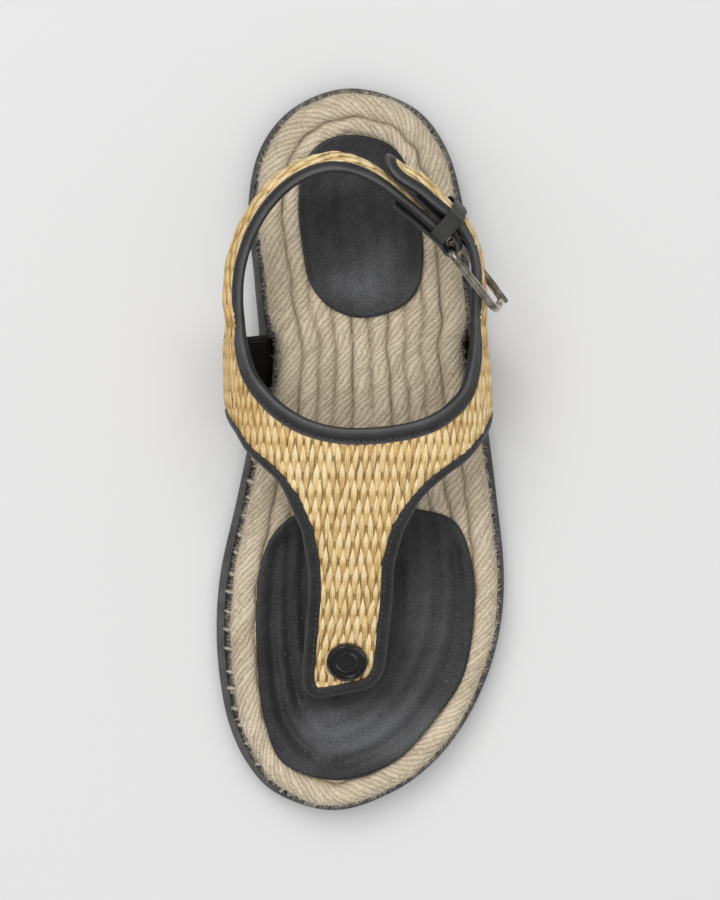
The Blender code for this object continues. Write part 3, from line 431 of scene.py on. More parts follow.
def spaced_loop(points, count):
    """The smooth closed curve through points, cut into equal lengths."""
    points = [tuple(p) for p in points]
    doubled = np.array(points[-3:] + points + points[:4], float)
    keys = curve_keys(doubled)
    fine = eased(keys, doubled, np.linspace(keys[3], keys[3 + len(points)], 60 * len(points)))
    return at_length(fine, np.linspace(0.0, walked(fine)[-1], count, endpoint=False))


def distance_to(points, path, closed):
    """Distance of plan points from a polyline."""
    path = np.asarray(path, float)
    start = path if closed else path[:-1]
    step = (np.roll(path, -1, axis=0) if closed else path[1:]) - start
    offset = points[:, None, :] - start[None, :, :]
    share = np.clip((offset * step).sum(2) / (step * step).sum(1), 0.0, 1.0)
    nearest = offset - share[:, :, None] * step
    return np.sqrt((nearest ** 2).sum(2)).min(1)


def ripple(share, slow, quick, seed, waves=6):
    """Smooth wander, about -1 to 1, that closes on itself over one turn."""
    rng = np.random.default_rng(seed)
    turns = rng.integers(slow, quick, waves)
    phase = rng.uniform(0.0, 2.0 * math.pi, waves)
    return np.sin(2.0 * math.pi * share[..., None] * turns + phase).sum(-1) / math.sqrt(waves)


# Finishes: values in a node tree add and multiply as numbers do
class Value:
    """One output of a node in a finish."""

    def __init__(self, finish, socket):
        self.finish, self.socket = finish, socket

    def math(self, operation, *others):
        return self.finish.node("ShaderNodeMath", {"operation": operation}, dict(enumerate((self, *others))))

    def __add__(self, other):
        return self.math("ADD", other)

    def __sub__(self, other):
        return self.math("SUBTRACT", other)

    def __rsub__(self, other):
        return self.finish.node("ShaderNodeMath", {"operation": "SUBTRACT"}, {0: other, 1: self})

    def __mul__(self, other):
        return self.math("MULTIPLY", other)

    def __truediv__(self, other):
        return self.math("DIVIDE", other)

    def __pow__(self, other):
        return self.math("POWER", other)

    __radd__ = __add__
    __rmul__ = __mul__


class Finish:
    """A material whose nodes are added by name."""

    def __init__(self, name):
        self.material = bpy.data.materials.new(name)
        self.material.use_nodes = True
        self.tree = self.material.node_tree
        self.shader = self.tree.nodes["Principled BSDF"]

    def feed(self, socket, value):
        if isinstance(value, Value):
            self.tree.links.new(value.socket, socket)
        elif isinstance(value, tuple) and len(value) == 3 and socket.type == "RGBA":
            socket.default_value = (*value, 1.0)
        else:
            socket.default_value = value

    def node(self, kind, settings=(), inputs=(), out=0):
        made = self.tree.nodes.new(kind)
        settings = dict(settings)
        stops = settings.pop("stops", ())
        for key, value in settings.items():
            setattr(made, key, value)
        for place, colour in stops[1:-1]:
            made.color_ramp.elements.new(place).color = (*colour, 1.0)
        for index in (0, -1) if stops else ():
            made.color_ramp.elements[index].position = stops[index][0]
            made.color_ramp.elements[index].color = (*stops[index][1], 1.0)
        for key, value in dict(inputs).items():
            self.feed(made.inputs[key], value)
        return Value(self, made.outputs[out])

    def place(self):
        return self.node("ShaderNodeTexCoord", out="Object")

    def map(self, name):
        """The two numbers of a surface map."""
        both = self.node("ShaderNodeUVMap", {"uv_map": name})
        return [self.node("ShaderNodeSeparateXYZ", (), {0: both}, out) for out in (0, 1)]

    def mark(self, name):
        return self.node("ShaderNodeAttribute", {"attribute_name": name}, out="Fac")

    def point(self, x, y, z=0.0):
        return self.node("ShaderNodeCombineXYZ", (), {0: x, 1: y, 2: z})

    def noise(self, at, scale, detail=2.0, rough=0.55):
        inputs = {"Vector": at, "Scale": scale, "Detail": detail, "Roughness": rough}
        return self.node("ShaderNodeTexNoise", (), inputs)

    def cells(self, at, scale, feature="F1"):
        return self.node("ShaderNodeTexVoronoi", {"feature": feature}, {"Vector": at, "Scale": scale})

    def ramp(self, value, low, high):
        """Value turned to 0 at low and 1 at high, with soft ends."""
        inputs = {"Value": value, "From Min": low, "From Max": high}
        return self.node("ShaderNodeMapRange", {"interpolation_type": "SMOOTHSTEP"}, inputs)

    def mix(self, share, first, second, blend="MIX"):
        return self.node("ShaderNodeMix", {"data_type": "RGBA", "blend_type": blend},
                         {0: share, 6: first, 7: second}, 2)

    def bump(self, height, strength, depth, under=None):
        inputs = {"Height": height, "Strength": strength, "Distance": depth * MM}
        if under is not None:
            inputs["Normal"] = under
        return self.node("ShaderNodeBump", (), inputs)

    def done(self, **sockets):
        for name, value in sockets.items():
            self.feed(self.shader.inputs[name.replace("_", " ")], value)
        return self.material


def leather(name, dark, light, grain, rough, relief=0.5, sheen_colour=(0.15, 0.145, 0.14), shine=0.5, coat=0.0):
    """Grained leather: pebbles with fine creases and cloudy colour; paler and glossier where a map marks wear
    with painted sheen, and darker where a map marks painted shade in hollows.
    """
    f = Finish(name)
    at = f.place()
    wear_and_sheen, hollow_shade = f.map("Marks")
    warp = f.noise(at, 90.0, 3.0)
    shake = f.node("ShaderNodeTexNoise", (), {"Vector": at, "Scale": 420.0, "Detail": 2.0}, "Color")
    shake = f.node("ShaderNodeVectorMath", {"operation": "SCALE"}, {0: shake, "Scale": 0.0010})
    bent = f.node("ShaderNodeVectorMath", {"operation": "ADD"}, {0: at, 1: shake})
    pebble = f.cells(bent, 1000.0 / grain)
    crease = f.cells(bent, 1000.0 / grain, "DISTANCE_TO_EDGE")
    fine = f.noise(at, 2600.0, 2.0)
    cloud = f.noise(at, 38.0, 4.0, 0.6)
    colour = f.mix(f.ramp(cloud * 0.65 + warp * 0.35, 0.34, 0.68), dark, light)
    worn_and_sheen = f.ramp(wear_and_sheen * (0.70 + warp * 0.6), 0.10, 1.0)
    # Painted sheen: where the map marks wear, the colour turns paler as well as glossier
    colour = f.mix(worn_and_sheen * (0.55 + fine * 0.5), colour, sheen_colour)
    # Painted shade in the hollows that the map marks
    colour = f.mix(hollow_shade * 0.6, colour, tuple(0.45 * c for c in dark))
    colour = f.mix(f.ramp(crease, 0.10, 0.0) * 0.5, colour, tuple(0.55 * c for c in dark))
    height = f.ramp(crease, 0.0, 0.25) * 0.8 + fine * 0.25 - pebble * 0.35
    normal = f.bump(height, relief, 0.16, f.bump(warp, 0.22, 1.4))
    f.shader.inputs["Specular IOR Level"].default_value = shine
    f.shader.inputs["Coat Roughness"].default_value = 0.25
    f.shader.inputs["Coat Weight"].default_value = coat
    return f.done(Base_Color=colour, Roughness=rough + cloud * 0.22 - 0.11 - worn_and_sheen * 0.06, Normal=normal)


def jute():
    """Twisted yarns: maps give the yarn count and length, and the painted shade of a point deep between
    ropes.
    """
    f = Finish("jute_rope")
    yarn, along = f.map("UVMap")
    valley_shade = f.map("Marks")[0]
    at = f.place()
    tint = f.node("ShaderNodeTexWhiteNoise", {"noise_dimensions": "1D"}, {"W": yarn.math("FLOOR")}, "Value")
    fuzz = f.noise(at, 1500.0, 4.0, 0.75)
    stray = f.noise(at, 520.0, 3.0, 0.6)
    cloud = f.noise(at, 60.0, 3.0)
    yarn = yarn + (stray - 0.5) * 0.4
    ridge = (yarn * math.pi).math("SINE") ** 2.0
    fibre = f.noise(f.point(yarn * 2.6, along * 0.45), 1.0, 4.0, 0.7)
    hairline = f.noise(f.point(yarn * 6.0 + 40.0, along * 0.6), 1.0, 3.0, 0.6)
    # The ridge term is painted shading: the crowns of the yarns are lighter than their sides
    light = f.ramp(tint * 0.14 + fibre * 0.36 + cloud * 0.26 + fuzz * 0.80 + ridge * 0.10, 0.58, 1.04)
    colour = f.mix(light, (0.52, 0.42, 0.285), (1.0, 0.87, 0.655))
    # Pale hairlines of fibre, which also serve as painted highlights along the yarns
    colour = f.mix(f.ramp(hairline, 0.56, 0.68) * 0.45, colour, (1.0, 0.94, 0.79))
    colour = f.mix(f.ramp(hairline, 0.44, 0.32) * 0.30, colour, (0.38, 0.285, 0.175))
    # Painted shade in the grooves between the yarns
    groove_shade = f.ramp(ridge, 0.40, 0.0) * f.ramp(stray, 0.22, 0.55)
    colour = f.mix(groove_shade * (fuzz * 0.5), colour, (0.30, 0.215, 0.13))
    # Painted shade deep in the valleys between the ropes
    colour = f.mix(valley_shade * f.ramp(cloud * 0.6 + stray * 0.4, 0.30, 0.62) * 0.75, colour, (0.20, 0.14, 0.08))
    normal = f.bump(fibre * 0.5 + hairline * 0.5 + fuzz * 1.2 + ridge * 0.2, 0.9, 0.6)
    f.shader.inputs["Specular IOR Level"].default_value = 0.2
    f.shader.inputs["Sheen Weight"].default_value = 0.12
    return f.done(Base_Color=colour, Roughness=0.82 + fibre * 0.16, Normal=normal)


def raffia(name, shadow, mid, light):
    """Split straw with lengthwise fibres and a faint gloss; each strip has its own tint, a painted highlight
    on its tip and painted shade along its sides and tail. The straw has painted shade on the inner side of
    the foot, where the wing turns away from the light."""
    f = Finish(name)
    along, across = f.map("UVMap")
    tint = f.mark("tint")
    at = f.place()
    streak = f.noise(f.point(across * 1.9 + tint * 71.0, along * 0.9, tint * 13.0), 1.0, 4.0, 0.7)
    fine = f.noise(f.point(across * 5.0 + tint * 37.0, along * 1.4, tint * 29.0), 1.0, 3.0, 0.6)
    cloud = f.noise(at, 60.0, 3.0)
    # Painted highlight: the raised tip of each strip is made paler
    tip_highlight = f.ramp(along, 0.25, -0.55)
    share = f.ramp(streak * 0.70 + tint * 0.16 + cloud * 0.20 + tip_highlight * 0.22, 0.40, 0.86)
    colour = f.node("ShaderNodeValToRGB", {"stops": ((0.0, shadow), (0.42, mid), (1.0, light))}, {0: share})
    # Pale fibre streaks, which also serve as painted highlights along the strip
    colour = f.mix(f.ramp(fine, 0.56, 0.68) * 0.5, colour, tuple(min(1.0, 1.05 * c + 0.03) for c in light))
    colour = f.mix(f.ramp(fine, 0.44, 0.32) * 0.7, colour, tuple(0.6 * c for c in shadow))
    colour = f.mix(f.ramp(tint, 0.95, 0.98) * 0.22, colour, (0.70, 0.42, 0.19))
    colour = f.mix(f.ramp(tint, 0.05, 0.02) * 0.22, colour, (0.58, 0.52, 0.20))
    # Painted shade along the sides of each strip and towards its tail, where it goes under its neighbours
    edge_shade = f.ramp(across.math("ABSOLUTE"), 0.45, 1.0)
    tail = f.ramp(along, 0.45, 1.0)
    colour = f.mix((edge_shade * 0.40).math("MAXIMUM", tail * 0.35), colour, (0.38, 0.24, 0.08))
    # Painted shade: the straw on the inner side of the foot is darkened, where the wing turns away from the
    # light
    side = f.node("ShaderNodeSeparateXYZ", (), {0: at})
    colour = f.mix(f.ramp(side, SHADE_FROM * MM, SHADE_TO * MM), colour, SHADED_STRAW, "MULTIPLY")
    normal = f.bump(streak * 0.6 + fine * 0.6, 0.6, 0.3)
    f.shader.inputs["Specular IOR Level"].default_value = 0.12
    return f.done(Base_Color=colour, Roughness=0.66 - streak * 0.24, Normal=normal)


def underweave():
    """Cross strips under the floats, on a map in millimetres."""
    f = Finish("raffia_cross_strips")
    across, along = f.map("UVMap")
    row = (along / WEAVE_ROW * 2.0 * math.pi).math("SINE").math("ABSOLUTE")
    streak = f.noise(f.point(across * 0.35, along * 3.2), 1.0, 4.0, 0.65)
    colour = f.mix(f.ramp(streak, 0.3, 0.75), (0.34, 0.22, 0.08), (0.62, 0.44, 0.19))
    # Painted shade in the gaps between the rows of cross strips
    colour = f.mix(f.ramp(row, 0.30, 0.0) * 0.5, colour, (0.12, 0.07, 0.025))
    normal = f.bump(row * 0.8 + streak * 0.4, 0.8, 0.5)
    return f.done(Base_Color=colour, Roughness=0.72, Normal=normal)


def rubber():
    """Moulded black rubber with a dusty, faintly pitted skin."""
    f = Finish("outsole_rubber")
    at = f.place()
    dust = f.noise(at, 120.0, 5.0, 0.65)
    pits = f.noise(at, 2600.0, 3.0)
    scuff = f.ramp(f.noise(at, 420.0, 4.0), 0.60, 0.78)
    colour = f.mix(f.ramp(dust, 0.30, 0.80), (0.066, 0.066, 0.068), (0.128, 0.127, 0.126))
    colour = f.mix(scuff * 0.35, colour, (0.21, 0.205, 0.20))
    normal = f.bump(pits * 0.7 + dust * 0.6, 0.35, 0.15)
    return f.done(Base_Color=colour, Roughness=0.62 + dust * 0.22, Normal=normal)


def nickel():
    """Aged nickel: brown tarnish in patches, brighter where it rubs, fine scratches."""
    f = Finish("buckle_metal")
    at = f.place()
    patch = f.noise(at, 240.0, 4.0, 0.6)
    drawn = f.node("ShaderNodeMapping", (), {"Vector": at, "Scale": (900.0, 5200.0, 5200.0)})
    scratch = f.noise(drawn, 1.0, 2.0)
    colour = f.mix(f.ramp(patch, 0.35, 0.68), (0.30, 0.265, 0.205), (0.66, 0.63, 0.56))
    normal = f.bump(scratch * 0.4 + patch * 0.6, 0.22, 0.10)
    f.shader.inputs["Metallic"].default_value = 1.0
    return f.done(Base_Color=colour, Roughness=0.20 + patch * 0.28, Normal=normal)


def thread(name, dark, light):
    """Plied thread, fuzzy and matt."""
    f = Finish(name)
    at = f.place()
    fuzz = f.noise(at, 1900.0, 4.0, 0.7)
    colour = f.mix(f.ramp(fuzz, 0.3, 0.7), dark, light)
    return f.done(Base_Color=colour, Roughness=0.75 + fuzz * 0.2, Normal=f.bump(fuzz, 0.6, 0.2))


LOOKS = {
    "outsole_rubber": rubber(),
    "jute_rope": jute(),
    "pad_leather": leather("pad_leather", (0.016, 0.016, 0.017), (0.048, 0.048, 0.050), 1.35, 0.46, 0.42,
                           (0.115, 0.117, 0.122)),
    "binding_leather": leather("binding_leather", (0.020, 0.0195, 0.0205), (0.043, 0.042, 0.044), 0.60, 0.42,
                               0.35, (0.185, 0.181, 0.181), 0.4),
    "lining_leather": leather("lining_leather", (0.008, 0.0075, 0.0075), (0.017, 0.016, 0.016), 0.7, 0.60,
                              0.4, shine=0.3),
    "tab_leather": leather("tab_leather", (0.033, 0.032, 0.031), (0.080, 0.079, 0.075), 0.55, 0.46, 0.55),
    "stud_leather": leather("stud_leather", (0.006, 0.006, 0.006), (0.015, 0.015, 0.015), 1.6, 0.24, 0.12,
                            (0.16, 0.155, 0.15), 0.5, 0.3),
    "raffia_weave": raffia("raffia_weave", (0.60, 0.39, 0.155), (0.88, 0.645, 0.31), (0.98, 0.80, 0.49)),
    "raffia_cross_strips": underweave(),
    "buckle_metal": nickel(),
    "whip_thread": thread("whip_thread", (0.52, 0.46, 0.37), (0.86, 0.80, 0.70)),
    "edge_thread": thread("edge_thread", (0.020, 0.020, 0.020), (0.110, 0.108, 0.106)),
    "jute_fibre": thread("jute_fibre", (0.56, 0.48, 0.36), (0.84, 0.78, 0.67)),
}


# Meshes from grids of points
def grid_mesh(name, grids):
    """One mesh from grids of points, each with its maps: {name: two numbers for each point}."""
    points, quads, maps, start = [], [], {}, 0
    for grid, marks in grids:
        rows, columns = grid.shape[:2]
        corner = (np.arange(rows - 1)[:, None] * columns + np.arange(columns - 1)).ravel()
        faces = np.stack([corner, corner + 1, corner + columns + 1, corner + columns], axis=1)
        points.append(grid.reshape(-1, 3))
        quads.append(faces + start)
        for key, numbers in marks.items():
            maps.setdefault(key, []).append(np.asarray(numbers).reshape(-1, 2)[faces.ravel()])
        start += rows * columns
    mesh = bpy.data.meshes.new(name)
    mesh.from_pydata((np.concatenate(points) * MM).tolist(), [], np.concatenate(quads).tolist())
    for key, numbers in maps.items():
        flat = np.concatenate(numbers).astype(np.float32).ravel()
        mesh.uv_layers.new(name=key).data.foreach_set("uv", flat)
    return mesh


def welded(mesh, outwards=True):
    shape = bmesh.new()
    shape.from_mesh(mesh)
    bmesh.ops.remove_doubles(shape, verts=shape.verts, dist=2e-6)
    if outwards:
        bmesh.ops.recalc_face_normals(shape, faces=shape.faces)
    shape.to_mesh(mesh)
    shape.free()
    return mesh


def baked(obj):
    """Keeps what the modifiers of an object make as its plain mesh."""
    graph = bpy.context.evaluated_depsgraph_get()
    mesh = bpy.data.meshes.new_from_object(obj.evaluated_get(graph))
    obj.modifiers.clear()
    obj.data = mesh
    return obj


def linked(name, mesh):
    obj = bpy.data.objects.new(name, mesh)
    bpy.context.scene.collection.objects.link(obj)
    return obj


def modifier(obj, kind, **settings):
    made = obj.modifiers.new(kind.title(), kind)
    for key, value in settings.items():
        setattr(made, key, value)
    return made


def smoothed(obj):
    obj.data.polygons.foreach_set("use_smooth", np.ones(len(obj.data.polygons), bool))
    obj.data.update()


def box_cutter(name, boxes):
    """Boxes to be cut out of a piece, each a unit cube under its matrix."""
    shape = bmesh.new()
    for box in boxes:
        bmesh.ops.create_cube(shape, size=1.0, matrix=box)
    mesh = bpy.data.meshes.new(name)
    shape.to_mesh(mesh)
    shape.free()
    return linked(name, mesh)


def shown(obj, slot, *nodes, looks=False):
    """Finishes a piece: smooth, with its material, on the one body, for the nodes that it stands for."""
    if not looks:
        obj.data.materials.clear()
        obj.data.materials.append(LOOKS[slot])
    smoothed(obj)
    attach(obj, "root")
    if nodes:
        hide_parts(*nodes)
    return obj


def ring_grid(rings):
    """Closed rings as a grid whose last column repeats the first."""
    rings = np.asarray(rings)
    return np.concatenate([rings, rings[:, :1]], axis=1)


# Geometry Nodes: one shape repeated on points, and fibres scattered on a surface
def node_tree(name, sockets):
    tree = bpy.data.node_groups.new(name, "GeometryNodeTree")
    for socket, kind in sockets:
        tree.interface.new_socket(socket, in_out="INPUT", socket_type="NodeSocket" + kind)
    tree.interface.new_socket("Pieces", in_out="OUTPUT", socket_type="NodeSocketGeometry")
    source = tree.nodes.new("NodeGroupInput")

    def add(kind, settings=(), inputs=()):
        made = tree.nodes.new(kind)
        for key, value in dict(settings).items():
            setattr(made, key, value)
        for key, value in dict(inputs).items():
            if isinstance(value, bpy.types.NodeSocket):
                tree.links.new(value, made.inputs[key])
            else:
                made.inputs[key].default_value = value
        return made.outputs

    return tree, source.outputs, add


def close_tree(add, instances, finish):
    realized = add("GeometryNodeRealizeInstances", (), {"Geometry": instances})[0]
    coloured = add("GeometryNodeSetMaterial", (), {"Geometry": realized, "Material": finish})[0]
    add("NodeGroupOutput", (), {0: coloured})


def repeat_tree():
    """Puts one shape on every point, along and up as the point's own directions say."""
    tree, source, add = node_tree("repeat_on_points", (
        ("Points", "Geometry"), ("Shape", "Object"), ("Finish", "Material"), ("Size", "Float")))

    def direction(name):
        return add("GeometryNodeInputNamedAttribute", {"data_type": "FLOAT_VECTOR"}, {"Name": name})[0]

    turned = add("FunctionNodeAlignRotationToVector", {"axis": "X"}, {"Vector": direction("along")})[0]
    turned = add("FunctionNodeAlignRotationToVector", {"axis": "Z", "pivot_axis": "X"},
                 {"Rotation": turned, "Vector": direction("up")})[0]
    size = add("ShaderNodeVectorMath", {"operation": "SCALE"},
               {0: direction("size"), "Scale": source["Size"]})[0]
    shape = add("GeometryNodeObjectInfo", (), {"Object": source["Shape"]})["Geometry"]
    placed = add("GeometryNodeInstanceOnPoints", (), {
        "Points": source["Points"], "Instance": shape, "Rotation": turned, "Scale": size})[0]
    close_tree(add, placed, source["Finish"])
    return tree


def fibre_tree():
    """Scatters loose fibres over a surface, each leaning its own way."""
    tree, source, add = node_tree("loose_fibres", (
        ("Surface", "Geometry"), ("Fibre", "Object"), ("Finish", "Material"), ("Density", "Float"),
        ("Lean", "Float"), ("Seed", "Int")))
    spots = add("GeometryNodeDistributePointsOnFaces", (), {
        "Mesh": source["Surface"], "Density": source["Density"], "Seed": source["Seed"]})
    random_turn = add("FunctionNodeRandomValue", {"data_type": "FLOAT_VECTOR"}, {
        0: (-1.0, -1.0, -math.pi), 1: (1.0, 1.0, math.pi), "Seed": source["Seed"]})[0]
    lean = add("ShaderNodeCombineXYZ", (), {0: source["Lean"], 1: source["Lean"], 2: 1.0})[0]
    turn = add("ShaderNodeVectorMath", {"operation": "MULTIPLY"}, {0: random_turn, 1: lean})[0]
    rotation = add("FunctionNodeRotateRotation", {"rotation_space": "LOCAL"}, {
        "Rotation": spots["Rotation"], "Rotate By": add("FunctionNodeEulerToRotation", (), {0: turn})[0]})[0]
    scale = add("FunctionNodeRandomValue", {"data_type": "FLOAT"}, {
        2: FIBRE_SIZES[0], 3: FIBRE_SIZES[1], "Seed": source["Seed"]})[1]
    shape = add("GeometryNodeObjectInfo", (), {"Object": source["Fibre"]})["Geometry"]
    placed = add("GeometryNodeInstanceOnPoints", (), {
        "Points": spots["Points"], "Instance": shape, "Rotation": rotation, "Scale": scale})[0]
    close_tree(add, placed, source["Finish"])
    return tree


REPEAT, FIBRES = repeat_tree(), fibre_tree()


def run_tree(obj, tree, **values):
    """Runs a tree on an object and keeps the result as a plain mesh."""
    made = modifier(obj, "NODES", node_group=tree)
    for item in tree.interface.items_tree:
        if item.in_out == "INPUT" and item.name in values:
            made[item.identifier] = values[item.name]
    return baked(obj)


def repeated(name, shape, look, at, along, up, size, marks=()):
    """A shape on each point, as one mesh."""
    mesh = bpy.data.meshes.new(name)
    mesh.from_pydata((np.asarray(at) * MM).tolist(), [], [])
    for key, vectors in (("along", along), ("up", up), ("size", size)):
        mesh.attributes.new(key, "FLOAT_VECTOR", "POINT").data.foreach_set(
            "vector", np.asarray(vectors, np.float32).ravel())
    for key, numbers in dict(marks).items():
        mesh.attributes.new(key, "FLOAT", "POINT").data.foreach_set(
            "value", np.asarray(numbers, np.float32))
    obj = run_tree(linked(name, mesh), REPEAT, Shape=shape, Finish=LOOKS[look], Size=1.0)
    bpy.data.objects.remove(shape)
    return obj


# Sole plan and heights
def sole_stations(count):
    """Points of the sole's outline from the heel round the lateral side, with outward normals."""
    lateral = [HEEL_TIP] + [(right, y) for y, left, right in SOLE_EDGES] + [TOE_TIP]
    medial = [(left, y) for y, left, right in reversed(SOLE_EDGES)]
    loop = spaced_loop(lateral + medial, OUTLINE_DENSITY)
    loop = np.roll(loop, -int(np.argmax(loop[:, 1])), axis=0)
    toe = int(np.argmin(loop[:, 1]))
    half = count // 2
    at = np.concatenate([np.linspace(0, toe, half, endpoint=False),
                         np.linspace(toe, len(loop), half, endpoint=False)])
    closed = np.vstack([loop, loop[:1]])
    plan = between(np.arange(len(closed)), closed, at)
    along = np.roll(plan, -1, axis=0) - np.roll(plan, 1, axis=0)
    return plan, unit(np.stack([-along[:, 1], along[:, 0]], axis=1))


def spine_of(plan):
    """The point of the sole's spine that each station faces."""
    middle = (plan + plan[(-np.arange(len(plan))) % len(plan)]) / 2.0
    spine = middle.copy()
    spine[middle[:, 1] < SPINE_TOE[1]] = SPINE_TOE
    spine[middle[:, 1] > SPINE_HEEL[1]] = SPINE_HEEL
    return spine


def welt_width(plan, normals):
    """Width of the welt left outside the ropes, pinched where the upper enters."""
    sides = table_at(WELT, plan[:, 1])
    across = np.where(normals[:, 0] < 0, sides[:, 0], sides[:, 1])
    ends = np.where(normals[:, 1] < 0, WELT_TOE, WELT_HEEL)
    pinch = PINCH * (1.0 - smooth_step(PINCH_HALF * 0.45, PINCH_HALF, np.abs(plan[:, 1] - PINCH_AT)))
    return normals[:, 0] ** 2 * across + normals[:, 1] ** 2 * ends + pinch


def underside(y):
    toe = TOE_SPRING * np.clip((TOE_SPRING_FROM - y) / (TOE_SPRING_FROM - TOE_TIP[1]), 0.0, 1.0) ** 1.6
    heel = HEEL_LIFT * np.clip((y - HEEL_LIFT_FROM) / (HEEL_TIP[1] - HEEL_LIFT_FROM), 0.0, 1.0) ** 1.6
    arch = np.clip((y - ARCH_FRONT) / (ARCH_BACK - ARCH_FRONT), 0.0, 1.0)
    return toe + heel + ARCH_LIFT * np.sin(math.pi * arch) ** 2


def lip_height(y):
    return table_at(SOLE_HEIGHTS, y)[:, 0].reshape(np.shape(y))


def crest_height(y):
    return table_at(SOLE_HEIGHTS, y)[:, 1].reshape(np.shape(y))


def dished(y, inset):
    """Height of the rope crests at an inset from the rope edge, lower towards the middle."""
    return crest_height(y) - DISH * smooth_step(0.0, DISH_REACH, inset)


def rope_floor(y):
    return lip_height(y) - TRAY_DEPTH + GAP


STATION, OUT = sole_stations(ROPE_STATIONS)
STATION_SHARE = np.arange(ROPE_STATIONS) / ROPE_STATIONS
EDGE = STATION - OUT * welt_width(STATION, OUT)[:, None]
SPINE = spine_of(EDGE)
SHARES = np.linspace(0.0, 1.0, 41)
RIM = EDGE[::4]
INSETS = np.maximum.accumulate([distance_to(start + SHARES[:, None] * (end - start), RIM, True)
                                for start, end in zip(EDGE, SPINE)], axis=1)
FULL = INSETS[:, -1]
PITCH = np.clip((FULL - EDGE_ROPE) / WAIST_ROPES, TIGHT_PITCH, ROPE_PITCH)


def bed_height(plan):
    """Height of the rope crests under plan points, and their inset."""
    parts = np.array_split(plan, 1 + len(plan) // 2000)
    inset = np.concatenate([distance_to(part, RIM, True) for part in parts])
    return dished(plan[:, 1], inset), inset


# Rubber tray: bevelled foot, side, rounded lip and sunk floor, with slots across both treads
def make_tray():
    plan, normals = sole_stations(TRAY_STATIONS)
    spine = spine_of(plan)
    lip, low = lip_height(plan[:, 1]), underside(plan[:, 1])
    middle = (low + lip) / 2
    ledge = np.clip(welt_width(plan, normals) * LEDGE_SHARE, *LEDGE_LIMITS)

    def ring(inset, height):
        inset = np.broadcast_to(inset, len(plan))[:, None]
        return np.column_stack([plan - normals * inset, height])

    rows = [
        np.column_stack([spine, underside(spine[:, 1])]),
        ring(FOOT_INSET, underside((plan - normals * FOOT_INSET)[:, 1])),
        *(ring(inset, low + rise) for inset, rise in FOOT_SECTION),
        *(ring(inset, middle + rise) for inset, rise in GROOVE_SECTION),
        *(ring(inset, lip - drop) for inset, drop in LIP_SECTION),
        ring(ledge - LEDGE_ROUND, lip),
        ring(ledge, lip - LEDGE_ROUND),
        ring(ledge + LEDGE_SLOPE, lip - TRAY_DEPTH),
        np.column_stack([spine, lip_height(spine[:, 1]) - TRAY_DEPTH]),
    ]
    tray = linked("sole_tray", welded(grid_mesh("sole_tray", [(ring_grid(rows), {})])))
    boxes = []
    for first, last in TREADS:
        for y in np.linspace(first, last, int(round((last - first) / TREAD_PITCH)) + 1):
            near = plan[np.abs(plan[:, 1] - y) < 2.0, 0]
            left, right = near.min() + TREAD_MARGIN, near.max() - TREAD_MARGIN
            size = Vector((right - left, TREAD_WIDTH, 2 * TREAD_DEPTH)) * MM
            place = Vector(((left + right) / 2, y, 0.0)) * MM
            boxes.append(Matrix.Translation(place) @ Matrix.Diagonal((*size, 1.0)))
    slots = box_cutter("tread_slots", boxes)
    modifier(tray, "BOOLEAN", operation="DIFFERENCE", solver="EXACT", object=slots)
    baked(tray)
    bpy.data.objects.remove(slots)
    smoothed(tray)
    modifier(tray, "WEIGHTED_NORMAL", keep_sharp=True)
    shown(baked(tray), "outsole_rubber", "outsole")


# Ropes of the footbed: an edge rope over a side rope, and a coil inside it
def inset_plan(inset):
    """Plan points at insets from the rope edge, for each station."""
    share = np.stack([np.interp(row, depth, SHARES) for row, depth in zip(inset, INSETS)])
    return EDGE[:, None] + share[..., None] * (SPINE - EDGE)[:, None]


def rope_lengths(inset):
    """Length along a rope at each station."""
    line = inset_plan(inset[:, None])[:, 0]
    return walked(np.vstack([line, line[:1]]))


def yarn_count(length, width, angle, offset):
    """Yarn number at stations along a rope and angles round it, with an uneven lay that closes on itself."""
    yarns = round(math.pi * width / math.tan(TWIST_ANGLE) / YARN_STEP)
    share = length / length[-1]
    turns = round(length[-1] / YARN_STEP) * length / length[-1]
    lay = SLOW_LAY * ripple(share, 5, 40, offset) + QUICK_LAY * ripple(share, 60, 190, offset + 9, 12)
    return (turns + lay)[:, None] - yarns * angle / (2.0 * math.pi) + 400.0 * offset


def yarn_relief(count, fullness):
    thick = 1.0 + 0.35 * np.sin(2.4 * np.floor(count) ** 1.3)
    return YARN_RELIEF * (np.abs(np.sin(math.pi * count)) ** 1.3 - 0.55) * fullness * thick


def closed_turn(values):
    return np.concatenate([values, values[:1]], axis=0)


def valley_wander(number):
    """Sideways wander of the valley outside a rope."""
    return VALLEY_WANDER * ripple(STATION_SHARE, 8, 48, 40 + number)


def rope_fall(t):
    """Fall of a rope's section from its crest at 0 to its valleys at -1 and 1."""
    return 1.0 - np.sqrt(1.0 - 0.98 * np.abs(t) ** 2.2)


def rope_grid(points, count, length, valley_shade):
    """A grid of rope with its maps: yarn number and length along it, and painted shade deep between the
    ropes.
    """
    maps = {"UVMap": (count, length), "Marks": (valley_shade, 0.0 * valley_shade)}
    return points.transpose(1, 0, 2), {
        key: np.stack(pair, axis=2).transpose(1, 0, 2) for key, pair in maps.items()}


